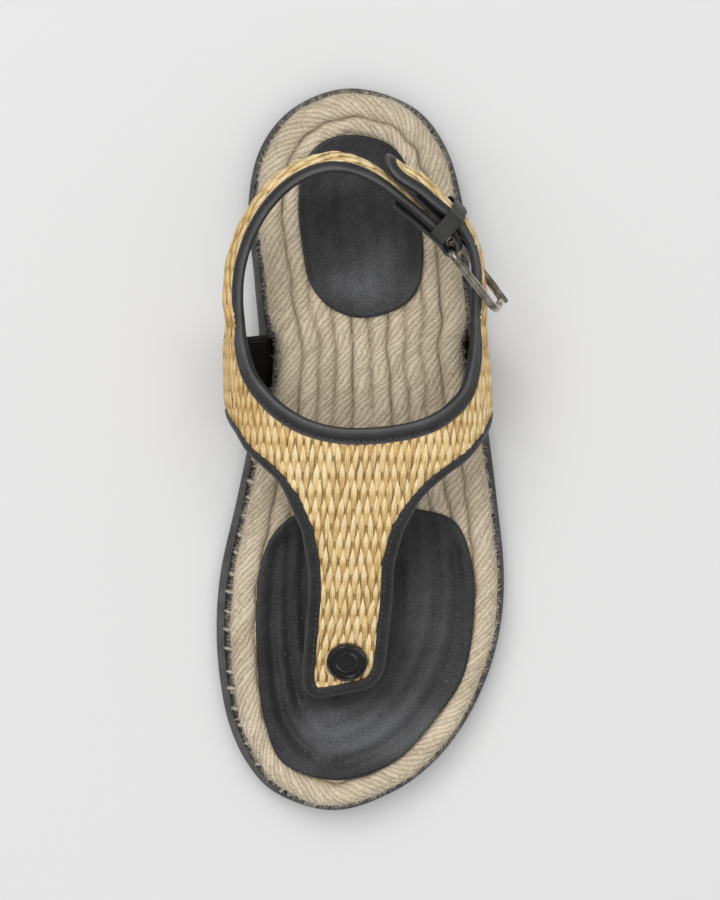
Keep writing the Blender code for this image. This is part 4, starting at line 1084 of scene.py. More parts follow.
def lay_coil():
    """The ropes inside the edge rope, as grids that share their valleys."""
    grids = []
    rows = np.linspace(-1.0, 1.0, COIL_RINGS)
    tight = smooth_step(ROPE_PITCH, ROPE_PITCH - 0.3, PITCH)
    for number in range(1, INNER_ROPES + 1):
        base = EDGE_ROPE + (number - 1) * PITCH
        length = rope_lengths(np.minimum(base + PITCH / 2, FULL))
        low = base + valley_wander(number) * smooth_step(0.0, 4.0, FULL - base)
        high = base + PITCH + valley_wander(number + 1) * smooth_step(0.0, 4.0, FULL - base - PITCH)
        inset = low[:, None] + (rows + 1.0) / 2.0 * (high - low)[:, None]
        end = np.clip((FULL - low) / (high - low) * 2.0 - 1.0, -1.0, 1.0)[:, None]
        t = np.minimum(rows[None, :], end)
        plan = inset_plan(inset)
        closing = np.minimum(smooth_step(0.0, 5.0, FULL - np.minimum(high, FULL)) + tight, 1.0)
        opening = np.minimum(smooth_step(0.0, 5.0, FULL - low) + tight, 1.0)
        depth = ROPE_VALLEY * np.where(t > 0, closing[:, None], opening[:, None])
        swell = ROPE_SWELL * ripple(STATION_SHARE, 6, 30, 70 + number)[:, None]
        count = yarn_count(length, ROPE_PITCH, np.arcsin(0.97 * closed_turn(t)), number)
        fade = (1.0 - np.abs(t) ** 8) * smooth_step(0.0, 2.0, FULL[:, None] - inset)
        height = dished(plan[..., 1], np.minimum(inset, FULL[:, None])) - depth * rope_fall(t)
        height = height + (yarn_relief(count[:-1], 1.0) + swell) * fade
        points = closed_turn(np.concatenate([plan, height[..., None]], axis=2))
        length = np.broadcast_to(length[:, None], count.shape)
        # The last map is painted shade, darkest in the valleys
        grids.append(rope_grid(points, count, length, closed_turn(np.abs(t) ** 5.0)))
    return grids


def lay_edge():
    """The edge rope and the side rope below it, down to the tray floor, as one grid."""
    tall = (crest_height(EDGE[:, 1]) - rope_floor(EDGE[:, 1]))[:, None]
    runs = []
    for number, (angles, rings, half, middle, radius, dark) in enumerate(EDGE_SECTIONS):
        turn = np.radians(np.linspace(*angles, rings))[None, :]
        rise, outer, inner = np.cos(turn), np.maximum(np.sin(turn), 0.0), np.maximum(-np.sin(turn), 0.0)
        length = rope_lengths(np.full(ROPE_STATIONS, half))
        count = yarn_count(length, 2 * half, -turn, 20 + number)
        relief = yarn_relief(count[:-1], EDGE_FULLNESS) * np.where(turn < 0, rise, 1.0)
        drop = np.where(turn < 0, ROPE_VALLEY * rope_fall(inner), tall * (middle - radius * rise))
        inset = half * (1.0 - np.sin(turn)) - relief * outer + valley_wander(1)[:, None] * inner
        wave = EDGE_WAVE * ripple(STATION_SHARE, 10, 40, 90 + number)[:, None] * outer
        plan = inset_plan(np.maximum(inset, 0.0))
        plan = plan + OUT[:, None] * (np.maximum(-inset, 0.0) + wave)[..., None]
        height = dished(plan[..., 1], inset) - (drop - relief * rise)
        points = closed_turn(np.concatenate([plan, height[..., None]], axis=2))
        # Painted shade in the inner valley and where the edge rope meets the side rope
        valley_shade = np.maximum(inner ** 5.0, smooth_step(*dark, np.degrees(turn)))
        runs.append((points, *np.broadcast_arrays(count, length[:, None], valley_shade)))
    points, *marks = (np.concatenate(parts, axis=1) for parts in zip(*runs))
    under = closed_turn(np.column_stack([SPINE, rope_floor(SPINE[:, 1])]))[:, None]
    marks = [np.concatenate([mark, mark[:, -1:]], axis=1) for mark in marks]
    return rope_grid(np.concatenate([points, under], axis=1), *marks)


def face_up(rope):
    """Turns the faces of a rope so that its crests face upwards."""
    shape = bmesh.new()
    shape.from_mesh(rope.data)
    crests = [face for face in shape.faces if face.calc_center_median().z > CREST_FROM * MM]
    if sum(face.normal.z * face.calc_area() for face in crests) < 0:
        bmesh.ops.reverse_faces(shape, faces=shape.faces)
    shape.to_mesh(rope.data)
    shape.free()


def make_footbed():
    edge, coil = lay_edge(), lay_coil()
    ropes = []
    for name, grids in (("edge_rope", [edge]), ("rope_coil_outer", coil[:OUTER_COIL]),
                        ("rope_coil_inner", coil[OUTER_COIL:])):
        rope = linked(name, welded(grid_mesh(name, grids), False))
        face_up(rope)
        ropes.append(shown(rope, "jute_rope", "rope_footbed"))
    outer_side = linked("outer_side", grid_mesh("outer_side", [(edge[0][OUTER_RINGS], {})]))
    make_fibres(outer_side, *ropes)
    bpy.data.objects.remove(outer_side)


def fibre_shape(size, radius):
    """One bent fibre with three sides, thinner towards its tip."""
    bend = np.linspace(0.0, 1.0, 4)
    spine = size * np.stack([1.5 * bend ** 2, 0.5 * np.sin(3.0 * bend), 2.1 * bend], axis=1)
    thick = radius * (1.0 - 0.6 * bend)
    turn = np.radians((0.0, 120.0, 240.0))
    rings = [[p + r * np.array([math.cos(a), math.sin(a), 0.0]) for a in turn]
             for p, r in zip(spine[[0, 0, 1, 2, 3, 3]], (0.0, *thick, 0.0))]
    return linked("one_fibre", welded(grid_mesh("one_fibre", [(ring_grid(rings), {})]), False))


def make_fibres(*surfaces):
    """Loose jute fibres, long and thick on the outer side of the edge rope."""
    for surface, (name, density, lean, size, radius, seed) in zip(surfaces, FIBRE_GROUPS):
        hair = fibre_shape(size, radius)
        fibres = run_tree(linked(name, surface.data.copy()), FIBRES, Fibre=hair, Finish=LOOKS["jute_fibre"],
                          Density=density, Lean=lean, Seed=seed)
        bpy.data.objects.remove(hair)
        shown(fibres, "jute_rope", looks=True)


# Leather covers with the ropes and the main creases pressed into them
def make_pad(name, outline, creases, wear_and_sheen, press, node):
    """One cover: a rolled rim round a top that the ropes, the post and the creases press into."""
    edge = spaced_loop(outline, PAD_POINTS)
    middle = edge.mean(axis=0)
    ropes, post = press
    rows, marks = [], []
    for share, rise in PAD_RIM + tuple((s, PAD_THICK) for s in np.linspace(PAD_FLAT, 0.0, PAD_ROWS)):
        plan = middle + (edge - middle) * share
        bed, inset = bed_height(plan)
        relief = np.zeros(len(plan))
        if rise == PAD_THICK:
            turn = np.where(inset < EDGE_ROPE, inset / EDGE_ROPE, (inset - EDGE_ROPE) / ROPE_PITCH)
            relief -= ropes * (0.5 + 0.5 * np.cos(2.0 * math.pi * turn))
            for width, depth, points in creases:
                relief -= depth * np.exp(-(distance_to(plan, spaced(points, 24), False) / width) ** 2)
            relief -= post * np.exp(-(np.linalg.norm(plan - STUD_AT, axis=1) / POST_DENT) ** 2)
            relief *= smooth_step(1.0, 0.90, share)
        rows.append(np.column_stack([plan, bed + GAP + rise + relief]))
        # Wear with painted sheen: patches of the cover turn paler and glossier
        worn_and_sheen = sum(most * np.exp(-((plan[:, 0] - x) / wide) ** 2 - ((plan[:, 1] - y) / long) ** 2)
                   for x, y, wide, long, most in wear_and_sheen)
        # The marks carry wear with painted sheen, and painted shade in the pressed hollows
        marks.append(np.column_stack([np.clip(worn_and_sheen, 0.0, 1.0), np.clip(-relief, 0.0, 0.6)]))
    pad = linked(name, welded(grid_mesh(name, [(ring_grid(rows), {"Marks": ring_grid(marks)})])))
    shown(pad, "pad_leather", node)


# Upper: points of the last, the T panel, the stem and the straps
LATERAL_SIDE, MEDIAL_SIDE = STATION[:ROPE_STATIONS // 2][::-1], STATION[ROPE_STATIONS // 2:]


def last_points(girth, y):
    girth, y = np.broadcast_arrays(np.asarray(girth, float), np.asarray(y, float))
    shape = girth.shape
    girth, y = girth.ravel(), y.ravel()
    crest_x, crest_z, medial_x, lateral_x, wide_z = table_at(LAST, y).T
    lateral = girth >= 2.0
    share = np.where(lateral, 4.0 - girth, girth)
    wide_x = np.where(lateral, lateral_x, medial_x)
    base_x = np.where(lateral, np.interp(y, LATERAL_SIDE[:, 1], LATERAL_SIDE[:, 0]) - BASE_INSET,
                      np.interp(y, MEDIAL_SIDE[:, 1], MEDIAL_SIDE[:, 0]) + BASE_INSET)
    base_z = lip_height(y) - BASE_DEPTH
    below = np.clip(1.0 - share, 0.0, 1.0)
    angle = np.clip(share - 1.0, 0.0, 1.0) * math.pi / 2.0
    power = 2.0 / LAST_FULLNESS
    low = share < 1.0
    x = np.where(low, wide_x + (base_x - wide_x) * below ** LAST_TUCK,
                 crest_x + (wide_x - crest_x) * np.maximum(np.cos(angle), 0.0) ** power)
    z = np.where(low, wide_z + (base_z - wide_z) * below,
                 wide_z + (crest_z - wide_z) * np.sin(angle) ** power)
    return np.stack([x, y, z], axis=1).reshape(*shape, 3)


def crest_drop(plan):
    """Points of the last straight above plan points."""
    plan = np.asarray(plan, float)
    x, y = plan[..., 0].ravel(), plan[..., 1].ravel()
    crest_x, crest_z, medial_x, lateral_x, wide_z = table_at(LAST, y).T
    wide_x = np.where(x < crest_x, medial_x, lateral_x)
    share = np.minimum(np.abs((x - crest_x) / (wide_x - crest_x)), 1.0)
    height = (1.0 - share ** LAST_FULLNESS) ** (1.0 / LAST_FULLNESS)
    return np.stack([x, y, wide_z + (crest_z - wide_z) * height], axis=1).reshape(*plan.shape[:-1], 3)


def rib_edge(position, columns, corners):
    """Girth and y of a panel edge at a rib position, with corners kept."""
    stops = [0, *corners, len(RIBS) - 1]
    for first, last in zip(stops, stops[1:]):
        if position <= last:
            rows = np.array(RIBS)[first:last + 1, columns]
            if len(rows) == 2:
                return rows[0] + (rows[1] - rows[0]) * (position - first)
            return eased(np.arange(first, last + 1), rows, position)[0]


COLUMNS = np.concatenate([np.linspace(a, b, n, endpoint=False) for a, b, n in COLUMN_RUNS] + [[16.0]])


def column_at(position):
    return int(np.argmin(np.abs(COLUMNS - position)))


FRONT = np.array([rib_edge(p, slice(0, 2), FRONT_CORNERS) for p in COLUMNS])
REAR = np.array([rib_edge(p, slice(2, 4), REAR_CORNERS) for p in COLUMNS])
row_share = np.linspace(0.0, 1.0, PANEL_ROWS)[:, None, None]
PANEL_GIRTH = FRONT + (REAR - FRONT) * row_share
PANEL = last_points(PANEL_GIRTH[..., 0], PANEL_GIRTH[..., 1])


def stem_grid():
    """Rows of the stem from the panel's front row to its slanted toe end."""
    top = PANEL[0, column_at(7):column_at(9) + 1]
    inside = PANEL[2, column_at(7):column_at(9) + 1]
    shares = ((top[:, 0] - top[0, 0]) / (top[-1, 0] - top[0, 0]))[:, None]
    rows = [crest_drop(np.array([lx, ly]) + shares * np.array([rx - lx, ry - ly]))
            for lx, ly, rx, ry in STEM]
    through = np.array([inside, top, *rows])
    lines = []
    for line in through.transpose(1, 0, 2):
        keys = walked(line)
        lines.append(eased(keys, line, np.linspace(keys[1], keys[-1], STEM_ROWS)))
    grid = np.array(lines).transpose(1, 0, 2)
    grid[0] = top
    return grid


def strap_section(depth, swell):
    """Outward and downward run of the strap's section at a depth below its upper edge."""
    steps = np.linspace(0.0, depth, 21)[:, None]
    top, low = (np.radians(flat + (full - flat) * swell) for flat, full in (STRAP_LEAN_TOP, STRAP_LEAN_LOW))
    lean = top + (low - top) * steps / STRAP_WIDTH
    return np.trapz(np.sin(lean), steps, axis=0)[:, None], np.trapz(np.cos(lean), steps, axis=0)[:, None]


def strap_frames(table, side):
    path = np.asarray(table, float)[:, :3]
    ahead = np.gradient(path, axis=0)
    out = side * unit(np.stack([ahead[:, 1], -ahead[:, 0], 0.0 * ahead[:, 0]], axis=1))
    along = unit(ahead)
    return path, out, unit(along * along[:, 2:] - UP)


def strap_grid(table, side, first, last, rounded):
    """Lines of a strap from its upper to its lower edge, as rows along its length."""
    path, out, down = strap_frames(table, side)
    columns = np.arange(column_at(first), column_at(last) + 1)[::side]
    lines = []
    for depth, column in zip(np.linspace(0.0, STRAP_WIDTH, len(columns)), columns):
        out_run, down_run = strap_section(depth, np.asarray(table)[:, 3])
        through = np.vstack([PANEL[-4, column], PANEL[-1, column], path + out * out_run + down * down_run])
        keys = walked(through)
        lines.append(eased(keys, through, np.linspace(keys[1], keys[-1], STRAP_ROWS)))
    grid = np.array(lines).transpose(1, 0, 2)
    if rounded:
        middle = grid[:, len(columns) // 2]
        left = walked(middle)[-1] - walked(middle)
        taper = eased(*np.array(TIP_TAPER).T, left)[:, None, None]
        grid = middle[:, None] + (grid - middle[:, None]) * taper
    return grid


STEM_GRID = stem_grid()
HEEL_GRID = strap_grid(HEEL_STRAP, -1, 2, 3, False)
BUCKLE_GRID = strap_grid(BUCKLE_STRAP, 1, 13, 14, True)


def grid_frame(grid):
    """Unit directions along the rows, along the columns and out of a grid."""
    across, down = unit(np.gradient(grid, axis=1)), unit(np.gradient(grid, axis=0))
    return across, down, unit(np.cross(across, down))


def girth_map(y):
    """Girth numbers of a section of the last and the length round it from the crest."""
    girth = np.linspace(0.0, 4.0, GIRTH_STEPS)
    length = walked(last_points(girth, y))
    return girth, length - length[GIRTH_STEPS // 2]


def make_wall():
    """Wall of the upper: cross strips outside, lining inside."""
    grids = []
    spans = np.array([[np.interp(g, *girth_map(y)) for g, y in row] for row in PANEL_GIRTH[::PANEL_ROWS - 1]])
    across = spans[0] + (spans[1] - spans[0]) * row_share[..., 0]
    grids.append((PANEL, {"UVMap": np.stack([across, PANEL[..., 1]], axis=2)}))
    grids.append((STEM_GRID[::-1], {"UVMap": STEM_GRID[::-1, :, :2]}))
    for grid in (HEEL_GRID[:, ::-1], BUCKLE_GRID):
        along = walked(grid[:, grid.shape[1] // 2])[:, None] + RIBS[3][3]
        depth = np.linspace(0.0, STRAP_WIDTH, grid.shape[1])[None, :]
        grids.append((grid, {"UVMap": np.stack(np.broadcast_arrays(depth, along), axis=2)}))
    wall = linked("upper_wall", welded(grid_mesh("upper_wall", grids), False))
    thick = WALL_OUT + WALL_IN
    modifier(wall, "SOLIDIFY", thickness=thick * MM, offset=(WALL_OUT - WALL_IN) / thick, material_offset=1,
             material_offset_rim=1, use_even_offset=False)
    for look in ("raffia_cross_strips", "lining_leather"):
        wall.data.materials.append(LOOKS[look])
    baked(wall)
    return shown(wall, "raffia_weave", "upper", looks=True)


# Floats of the weave, laid brick-wise on the panel, the stem and the straps
def float_shape():
    """One strip of straw: a narrow raised tip that widens until it meets its neighbours and goes under."""
    a = np.linspace(-1.0, 1.0, 9)
    b = np.array((-1.0, -0.5, 0.0, 0.5, 1.0, 0.0))
    half = FLOAT_WIDTH / 2 * (0.22 + 0.78 * smooth_step(-1.05, -0.15, a))
    half = half * (1.0 - 0.30 * smooth_step(0.3, 1.0, a))
    crown = np.interp(a, *np.array(FLOAT_CROWN).T)
    rings, maps = [], []
    for along, width, rise in zip(a, half, crown):
        height = (rise + FLOAT_LIFT) * (1.0 - np.abs(b) ** 2.4) - FLOAT_LIFT - 0.10 * np.exp(-(b / 0.3) ** 2)
        height[-1] = FLOAT_UNDER
        rings.append(np.column_stack([np.full(6, FLOAT_LENGTH / 2 * along), width * b, height]))
        maps.append(np.column_stack([np.full(6, along), b]))
    rings = [np.tile(rings[0].mean(0), (6, 1)), *rings, np.tile(rings[-1].mean(0), (6, 1))]
    maps = ring_grid([maps[0], *maps, maps[-1]])
    maps[:, 4:, 1] = 1.0
    return linked("one_float", welded(grid_mesh("one_float", [(ring_grid(rings), {"UVMap": maps})])))


def inside(points, loop):
    """Which points lie inside a closed loop, by the crossings of a level ray."""
    after = np.roll(loop, -1, axis=0)
    hit = np.zeros(len(points), bool)
    for (ax, ay), (bx, by) in zip(loop, after):
        span = (ay > points[:, 1]) != (by > points[:, 1])
        hit ^= span & (points[:, 0] < (bx - ax) * (points[:, 1] - ay) / (by - ay + 1e-12) + ax)
    return hit


def panel_loop():
    """Edge of the panel and stem in length round the girth against y, inside the bindings."""
    left, right = column_at(7), column_at(9)
    wings = 1.0 - smooth_step(2.6, 3.4, COLUMNS) * smooth_step(13.4, 12.6, COLUMNS)
    tabs = 1.0 - smooth_step(1.7, 2.1, COLUMNS) * smooth_step(14.3, 13.9, COLUMNS)
    front_row, rear_row = FRONT.copy(), REAR.copy()
    front_row[:, 1] += (LIP_WING - 0.6) * wings
    rear_row[:, 1] -= (LIP_STRAP - 0.4) * tabs

    def spread(girth_and_y):
        return [(np.interp(g, *girth_map(y)), y) for g, y in girth_and_y]

    def stem_spread(points):
        spots = []
        for x, y in points[:, :2]:
            girth, length = girth_map(y)
            spots.append((np.interp(x, last_points(girth, y)[OVER_CREST, 0], length[OVER_CREST]), y))
        return spots

    front = spread(front_row[:left:2]) + stem_spread(STEM_GRID[::3, 0]) + stem_spread(STEM_GRID[-1, ::4])
    front += stem_spread(STEM_GRID[::-3, -1]) + spread(front_row[right::2])
    return np.array(front + spread(rear_row[::-2]))


def panel_floats(rng):
    """Floats over the panel and the stem, cut short at the edges."""
    loop = panel_loop()
    reach = np.linspace(-FLOAT_LENGTH / 2, FLOAT_LENGTH / 2, FLOAT_STEPS)
    third = FLOAT_STEPS // 3
    step = 0.6
    at, along, up, long = [], [], [], []
    for row in range(int(loop[:, 1].min() // WEAVE_ROW), int(loop[:, 1].max() // WEAVE_ROW) + 2):
        for column in range(-WEAVE_COLUMNS, WEAVE_COLUMNS + 1):
            u = (column + 0.5 * (row % 2)) * WEAVE_PITCH + rng.normal(0.0, WEAVE_STRAY_ACROSS)
            y = row * WEAVE_ROW + rng.normal(0.0, WEAVE_STRAY_ALONG)
            within = np.all([inside(np.column_stack([np.full(FLOAT_STEPS, u + side), y + reach]), loop)
                             for side in (-FLOAT_CLEAR, 0.0, FLOAT_CLEAR)], axis=0)
            if not within[third:-third].any():
                continue
            run = reach[within]
            if run[-1] - run[0] < FLOAT_SHORTEST:
                continue
            y = y + (run[0] + run[-1]) / 2
            near = []
            for place in (y - step, y + step):
                girth, around = girth_map(place)
                near.append(last_points(np.interp((u - step, u + step), around, girth), place))
            near = np.array(near)
            ahead = unit(near[1].mean(0) - near[0].mean(0))
            at.append(near.mean((0, 1)))
            along.append(-ahead)
            up.append(unit(np.cross(near[:, 1].mean(0) - near[:, 0].mean(0), ahead)))
            long.append(run[-1] - run[0])
    return at, along, up, long


def strap_floats(grid, panel_columns, sign, rng):
    """Floats along a strap, starting on the panel it grows from."""
    behind = PANEL[-14:-1, panel_columns]
    surface = np.concatenate([behind, grid], axis=0)
    down, out = grid_frame(surface)[1:]
    out = out * sign
    length = walked(surface[:, surface.shape[1] // 2])
    start = length[len(behind)]
    at, along, up, long = [], [], [], []
    for row in range(0, int((length[-1] - start) // WEAVE_ROW) + 1):
        for depth in STRAP_WIDTH / 2 + WEAVE_PITCH * (np.arange(-2, 3) + 0.5 * (row % 2)):
            v = start + row * WEAVE_ROW + rng.normal(0.0, 0.2)
            clear = STRAP_MARGINS[0] < depth < STRAP_WIDTH - STRAP_MARGINS[1]
            if not clear or v + FLOAT_SHORTEST > length[-1]:
                continue
            i = np.interp(v, length, np.arange(len(length)))
            j = depth / STRAP_WIDTH * (surface.shape[1] - 1)
            cell = int(i), int(j)
            share_i, share_j = i - cell[0], j - cell[1]
            corner = surface[cell[0]:cell[0] + 2, cell[1]:cell[1] + 2]
            line = corner[0] * (1 - share_i) + corner[-1] * share_i
            lift = ROOT_LIFT * (1.0 - smooth_step(*ROOT_REACH, v - start))
            at.append(line[0] * (1 - share_j) + line[-1] * share_j + out[cell] * lift)
            along.append(-down[cell])
            up.append(out[cell])
            long.append(min(FLOAT_LENGTH, 2.0 * (length[-1] - v)))
    return at, along, up, long


def make_floats():
    rng = np.random.default_rng(21)
    heel_columns = np.arange(column_at(2), column_at(3) + 1)[::-1]
    buckle_columns = np.arange(column_at(13), column_at(14) + 1)
    runs = (panel_floats(rng), strap_floats(HEEL_GRID, heel_columns, -1.0, rng),
            strap_floats(BUCKLE_GRID, buckle_columns, 1.0, rng))
    at, along, up, long = (np.concatenate([np.asarray(run[k], float) for run in runs]) for k in range(4))
    count = len(at)
    side = np.cross(up, along)
    along = unit(along + side * rng.normal(0.0, 0.05, (count, 1)) + up * rng.normal(0.0, 0.015, (count, 1)))
    up = unit(up + side * rng.normal(0.0, 0.10, (count, 1)))
    at = at + up * (WALL_OUT + FLOAT_LIFT + rng.normal(0.0, 0.07, (count, 1)))
    size = np.column_stack([long / FLOAT_LENGTH, rng.normal(1.0, 0.08, count), rng.normal(1.0, 0.10, count)])
    tint = rng.uniform(0.0, 1.0, count)
    floats = repeated("raffia_floats", float_shape(), "raffia_weave", at, along, up, size, {"tint": tint})
    return shown(floats, "raffia_weave", "upper", looks=True)


# Leather bindings: a rolled section along the free edges of the upper
def edge_lines(*runs):
    """Edge points, directions into the sheet and lip widths, joined from runs of grid borders."""
    points = np.concatenate([grid[0] for grid, lip in runs])
    inner = np.concatenate([grid[1] for grid, lip in runs])
    normal = np.concatenate([grid[2] for grid, lip in runs])
    lips = np.concatenate([np.tile(lip, (len(grid[0]), 1)) for grid, lip in runs])
    keep = np.concatenate([[True], np.linalg.norm(np.diff(points, axis=0), axis=1) > 1e-4])
    return points[keep], unit(inner - points)[keep], normal[keep], lips[keep]


def softened(values, width):
    """Values along a path, averaged over neighbours, with both ends held."""
    reach = int(3 * width)
    weight = np.exp(-0.5 * (np.arange(-reach, reach + 1) / width) ** 2)
    head = 2 * values[:1] - values[reach:0:-1]
    tail = 2 * values[-1:] - values[-2:-reach - 2:-1]
    longer = np.concatenate([head, values, tail])
    return np.stack([np.convolve(axis, weight / weight.sum(), "valid") for axis in longer.T], axis=1)


def border(grid, row, flip=False, sign=1.0):
    """One border of a grid with the row beside it and the outward direction."""
    out = grid_frame(grid)[2] * sign
    if row in ("first", "last"):
        index, beside = (0, 2) if row == "first" else (-1, -3)
        line, inner, normal = grid[index], grid[beside], out[index]
    else:
        index, beside = (0, 1) if row == "left" else (-1, -2)
        line, inner, normal = grid[:, index], grid[:, beside], out[:, index]
    return (line[::-1], inner[::-1], normal[::-1]) if flip else (line, inner, normal)


def part_of(run, first, last):
    return tuple(values[first:last] for values in run)


def make_binding(name, node, runs, worn_and_sheen, seed):
    """A folded strip along an edge, with its row of stitches."""
    points, into, normal, lips = edge_lines(*runs)
    length = walked(points)
    count = int(length[-1] / BIND_STEP)
    packed = np.column_stack([points, into, normal, lips])
    packed = softened(between(length, packed, np.linspace(0.0, length[-1], count)), BIND_SOFT)
    centre, lip, thick = packed[:, :3], packed[:, 9], packed[:, 10]
    along = unit(np.gradient(centre, axis=0))
    normal = unit(packed[:, 6:9] - along * (packed[:, 6:9] * along).sum(1, keepdims=True))
    into = np.cross(normal, along)
    into = into * np.sign((into * packed[:, 3:6]).sum(1, keepdims=True))
    swell = 1.0 + BIND_SWELL * ripple(np.linspace(0.0, 1.0, count), 20, 90, seed)
    under = tuple((inwards, -rise, 0.0) for inwards, rise, wear_and_sheen in reversed(BIND_SECTION[:-1]))
    rings = []
    for inwards, rise, wear_and_sheen in BIND_SECTION + under:
        run = lip * inwards if inwards > 0 else np.full(count, inwards)
        rings.append(centre + into * run[:, None] + normal * (thick * rise * swell)[:, None])
    rings = np.array(rings).transpose(1, 0, 2)
    ends = [np.repeat(rings[k].mean(0)[None], rings.shape[1], axis=0)[None] for k in (0, -1)]
    grid = ring_grid(np.concatenate([ends[0], rings, ends[1]]))
    # Painted highlight along the fold, carried by the wear mark
    wear_and_sheen = np.array(BIND_SECTION + under + BIND_SECTION[:1])[:, 2]
    marks = np.zeros(grid.shape[:2] + (2,))
    marks[..., 0] = worn_and_sheen * wear_and_sheen
    binding = linked(name, welded(grid_mesh(name, [(grid, {"Marks": marks})])))
    modifier(binding, "SUBSURF", levels=1, render_levels=1)
    shown(baked(binding), "binding_leather", node)
    stitches = np.arange(STITCH_MARGIN, walked(centre)[-1] - STITCH_MARGIN, STITCH_PITCH) / BIND_STEP
    centre, along, normal, into, lip, thick = (
        between(np.arange(count), values.reshape(count, -1), stitches)
        for values in (centre, along, normal, into, lip, thick))
    at = centre + into * lip * STITCH_LINE + normal * thick * STITCH_RISE
    size = np.ones((len(at), 3))
    sewn = repeated(name + "_stitches", stitch_shape(), "edge_thread", at, along, normal, size)
    shown(sewn, "binding_leather", looks=True)


def stitch_shape():
    """One sunk stitch of thread."""
    a = np.linspace(-1.0, 1.0, 7)[:, None]
    turn = np.linspace(0.0, 2.0 * math.pi, 7)[None, :]
    thick = STITCH_WIDTH / 2 * np.sqrt(np.maximum(1.0 - a ** 4, 0.0))
    sides = STITCH_LENGTH / 2 * a, thick * np.cos(turn), thick * np.sin(turn) - STITCH_SINK * a ** 2
    grid = np.stack(np.broadcast_arrays(*sides), axis=2)
    return linked("one_stitch", welded(grid_mesh("one_stitch", [(grid, {})])))


def free_borders(grid, sign):
    """The three free borders of a strip that grows from the panel: one side, the end and the other side."""
    return [border(grid, row, flip, sign)
            for row, flip in (("left", False), ("last", False), ("right", True))]


def make_bindings():
    left, right = column_at(7), column_at(9)
    low, high = column_at(0.1), column_at(15.9) + 1
    front, rear = border(PANEL, "first"), border(PANEL, "last")
    edge, wing, wing_low = (LIP_FRONT, BIND_HALF), (LIP_WING, BIND_STRAP), (LIP_WING, BIND_LOW)
    a, b, c, d = (column_at(p) for p in WING_BENDS)
    runs = [(part_of(front, low, a), wing_low), (part_of(front, a, b), wing), (part_of(front, b, left), edge)]
    runs += [(side, edge) for side in free_borders(STEM_GRID, -1.0)]
    runs += [(part_of(front, right + 1, c), edge), (part_of(front, c, d), wing)]
    runs += [(part_of(front, d, high), wing_low)]
    make_binding("front_edge", "front_binding", runs, 0.5, 31)
    heel = [tuple(values[::-1] for values in side) for side in free_borders(HEEL_GRID, -1.0)[::-1]]
    buckle = free_borders(BUCKLE_GRID, 1.0)
    edge, upper = (LIP_TOP, BIND_HALF), (LIP_STRAP, BIND_STRAP)
    lower, root = (LIP_STRAP, BIND_LOW), (LIP_STRAP, ROOT_BIND)
    a, b, c, d = (column_at(p) for p in REAR_CORNERS)
    runs = [(part_of(rear, low, a - ROOT_COLUMNS), lower), (part_of(rear, a - ROOT_COLUMNS, a), root)]
    runs += [(part_of(heel[0], 0, ROOT_ROWS), root), (part_of(heel[0], ROOT_ROWS, None), lower)]
    runs += [(heel[1], upper), (heel[2], upper), (part_of(rear, b + 1, c), edge)]
    runs += [(buckle[0], upper), (buckle[1], upper)]
    runs += [(part_of(buckle[2], 0, -ROOT_ROWS), lower), (part_of(buckle[2], -ROOT_ROWS, None), root)]
    d += 1
    runs += [(part_of(rear, d, d + ROOT_COLUMNS), root), (part_of(rear, d + ROOT_COLUMNS, high), lower)]
    make_binding("top_edge", "top_binding", runs, 1.0, 37)


# Whip stitches that tie the edge rope to the tray
def whip_shape():
    """A frayed stitch: five threads that part as they reach over the welt."""
    a, thick = np.array(WHIP_SPINE).T
    turn = np.radians((0.0, 120.0, 240.0, 360.0))
    ring = np.column_stack([0.0 * turn, np.cos(turn), np.sin(turn)])
    threads = []
    for spread, reach, bow in WHIP_THREADS:
        line = np.column_stack([reach * a, spread * a ** 1.6, bow * np.sin(math.pi * a)])
        threads.append((line[:, None] + thick[:, None, None] * ring[None], {}))
    return linked("one_whip", welded(grid_mesh("one_whip", threads)))


def make_whip():
    """Short tufts of thread, plain at the sides of the forefoot and nearly hidden round the heel."""
    length = walked(np.vstack([EDGE, EDGE[:1]]))
    count = int(length[-1] / WHIP_PITCH)
    rng = np.random.default_rng(12)
    pick = np.searchsorted(length[:-1], np.linspace(0.0, length[-1], count, endpoint=False))
    pick = (pick + rng.integers(-2, 3, count)) % ROPE_STATIONS
    edge, out = EDGE[pick], OUT[pick]
    plain = smooth_step(45.0, 5.0, edge[:, 1:]) * np.where(out[:, :1] < 0.0, 1.0, 0.7)
    reach = welt_width(STATION[pick], out)[:, None] * (0.05 + 0.52 * plain)
    reach = reach * rng.uniform(0.6, 1.2, (count, 1))
    start = np.column_stack([edge - out * WHIP_TUCK, crest_height(edge[:, 1]) - WHIP_TOP])
    end = np.column_stack([edge + out * reach, lip_height(edge[:, 1]) - WHIP_FOOT])
    along = end - start
    size = np.column_stack([np.linalg.norm(along, axis=1), *rng.uniform(0.8, 1.2, (2, count))])
    up = np.column_stack([out + rng.normal(0.0, 0.15, (count, 2)), np.full(count, 0.4)])
    whip = repeated("whip_stitches", whip_shape(), "whip_thread", start, unit(along), unit(up), size)
    shown(whip, "jute_rope", looks=True)


# Stud, post, buckle and its leathers
def last_normal(x, y):
    spots = crest_drop(np.array([(x + 1.0, y), (x - 1.0, y), (x, y + 1.0), (x, y - 1.0)]))
    return unit(np.cross(spots[0] - spots[1], spots[2] - spots[3]))


def round_ring(count):
    turn = np.linspace(0.0, 2.0 * math.pi, count, endpoint=False)
    return np.stack([np.cos(turn), np.sin(turn)], axis=1)


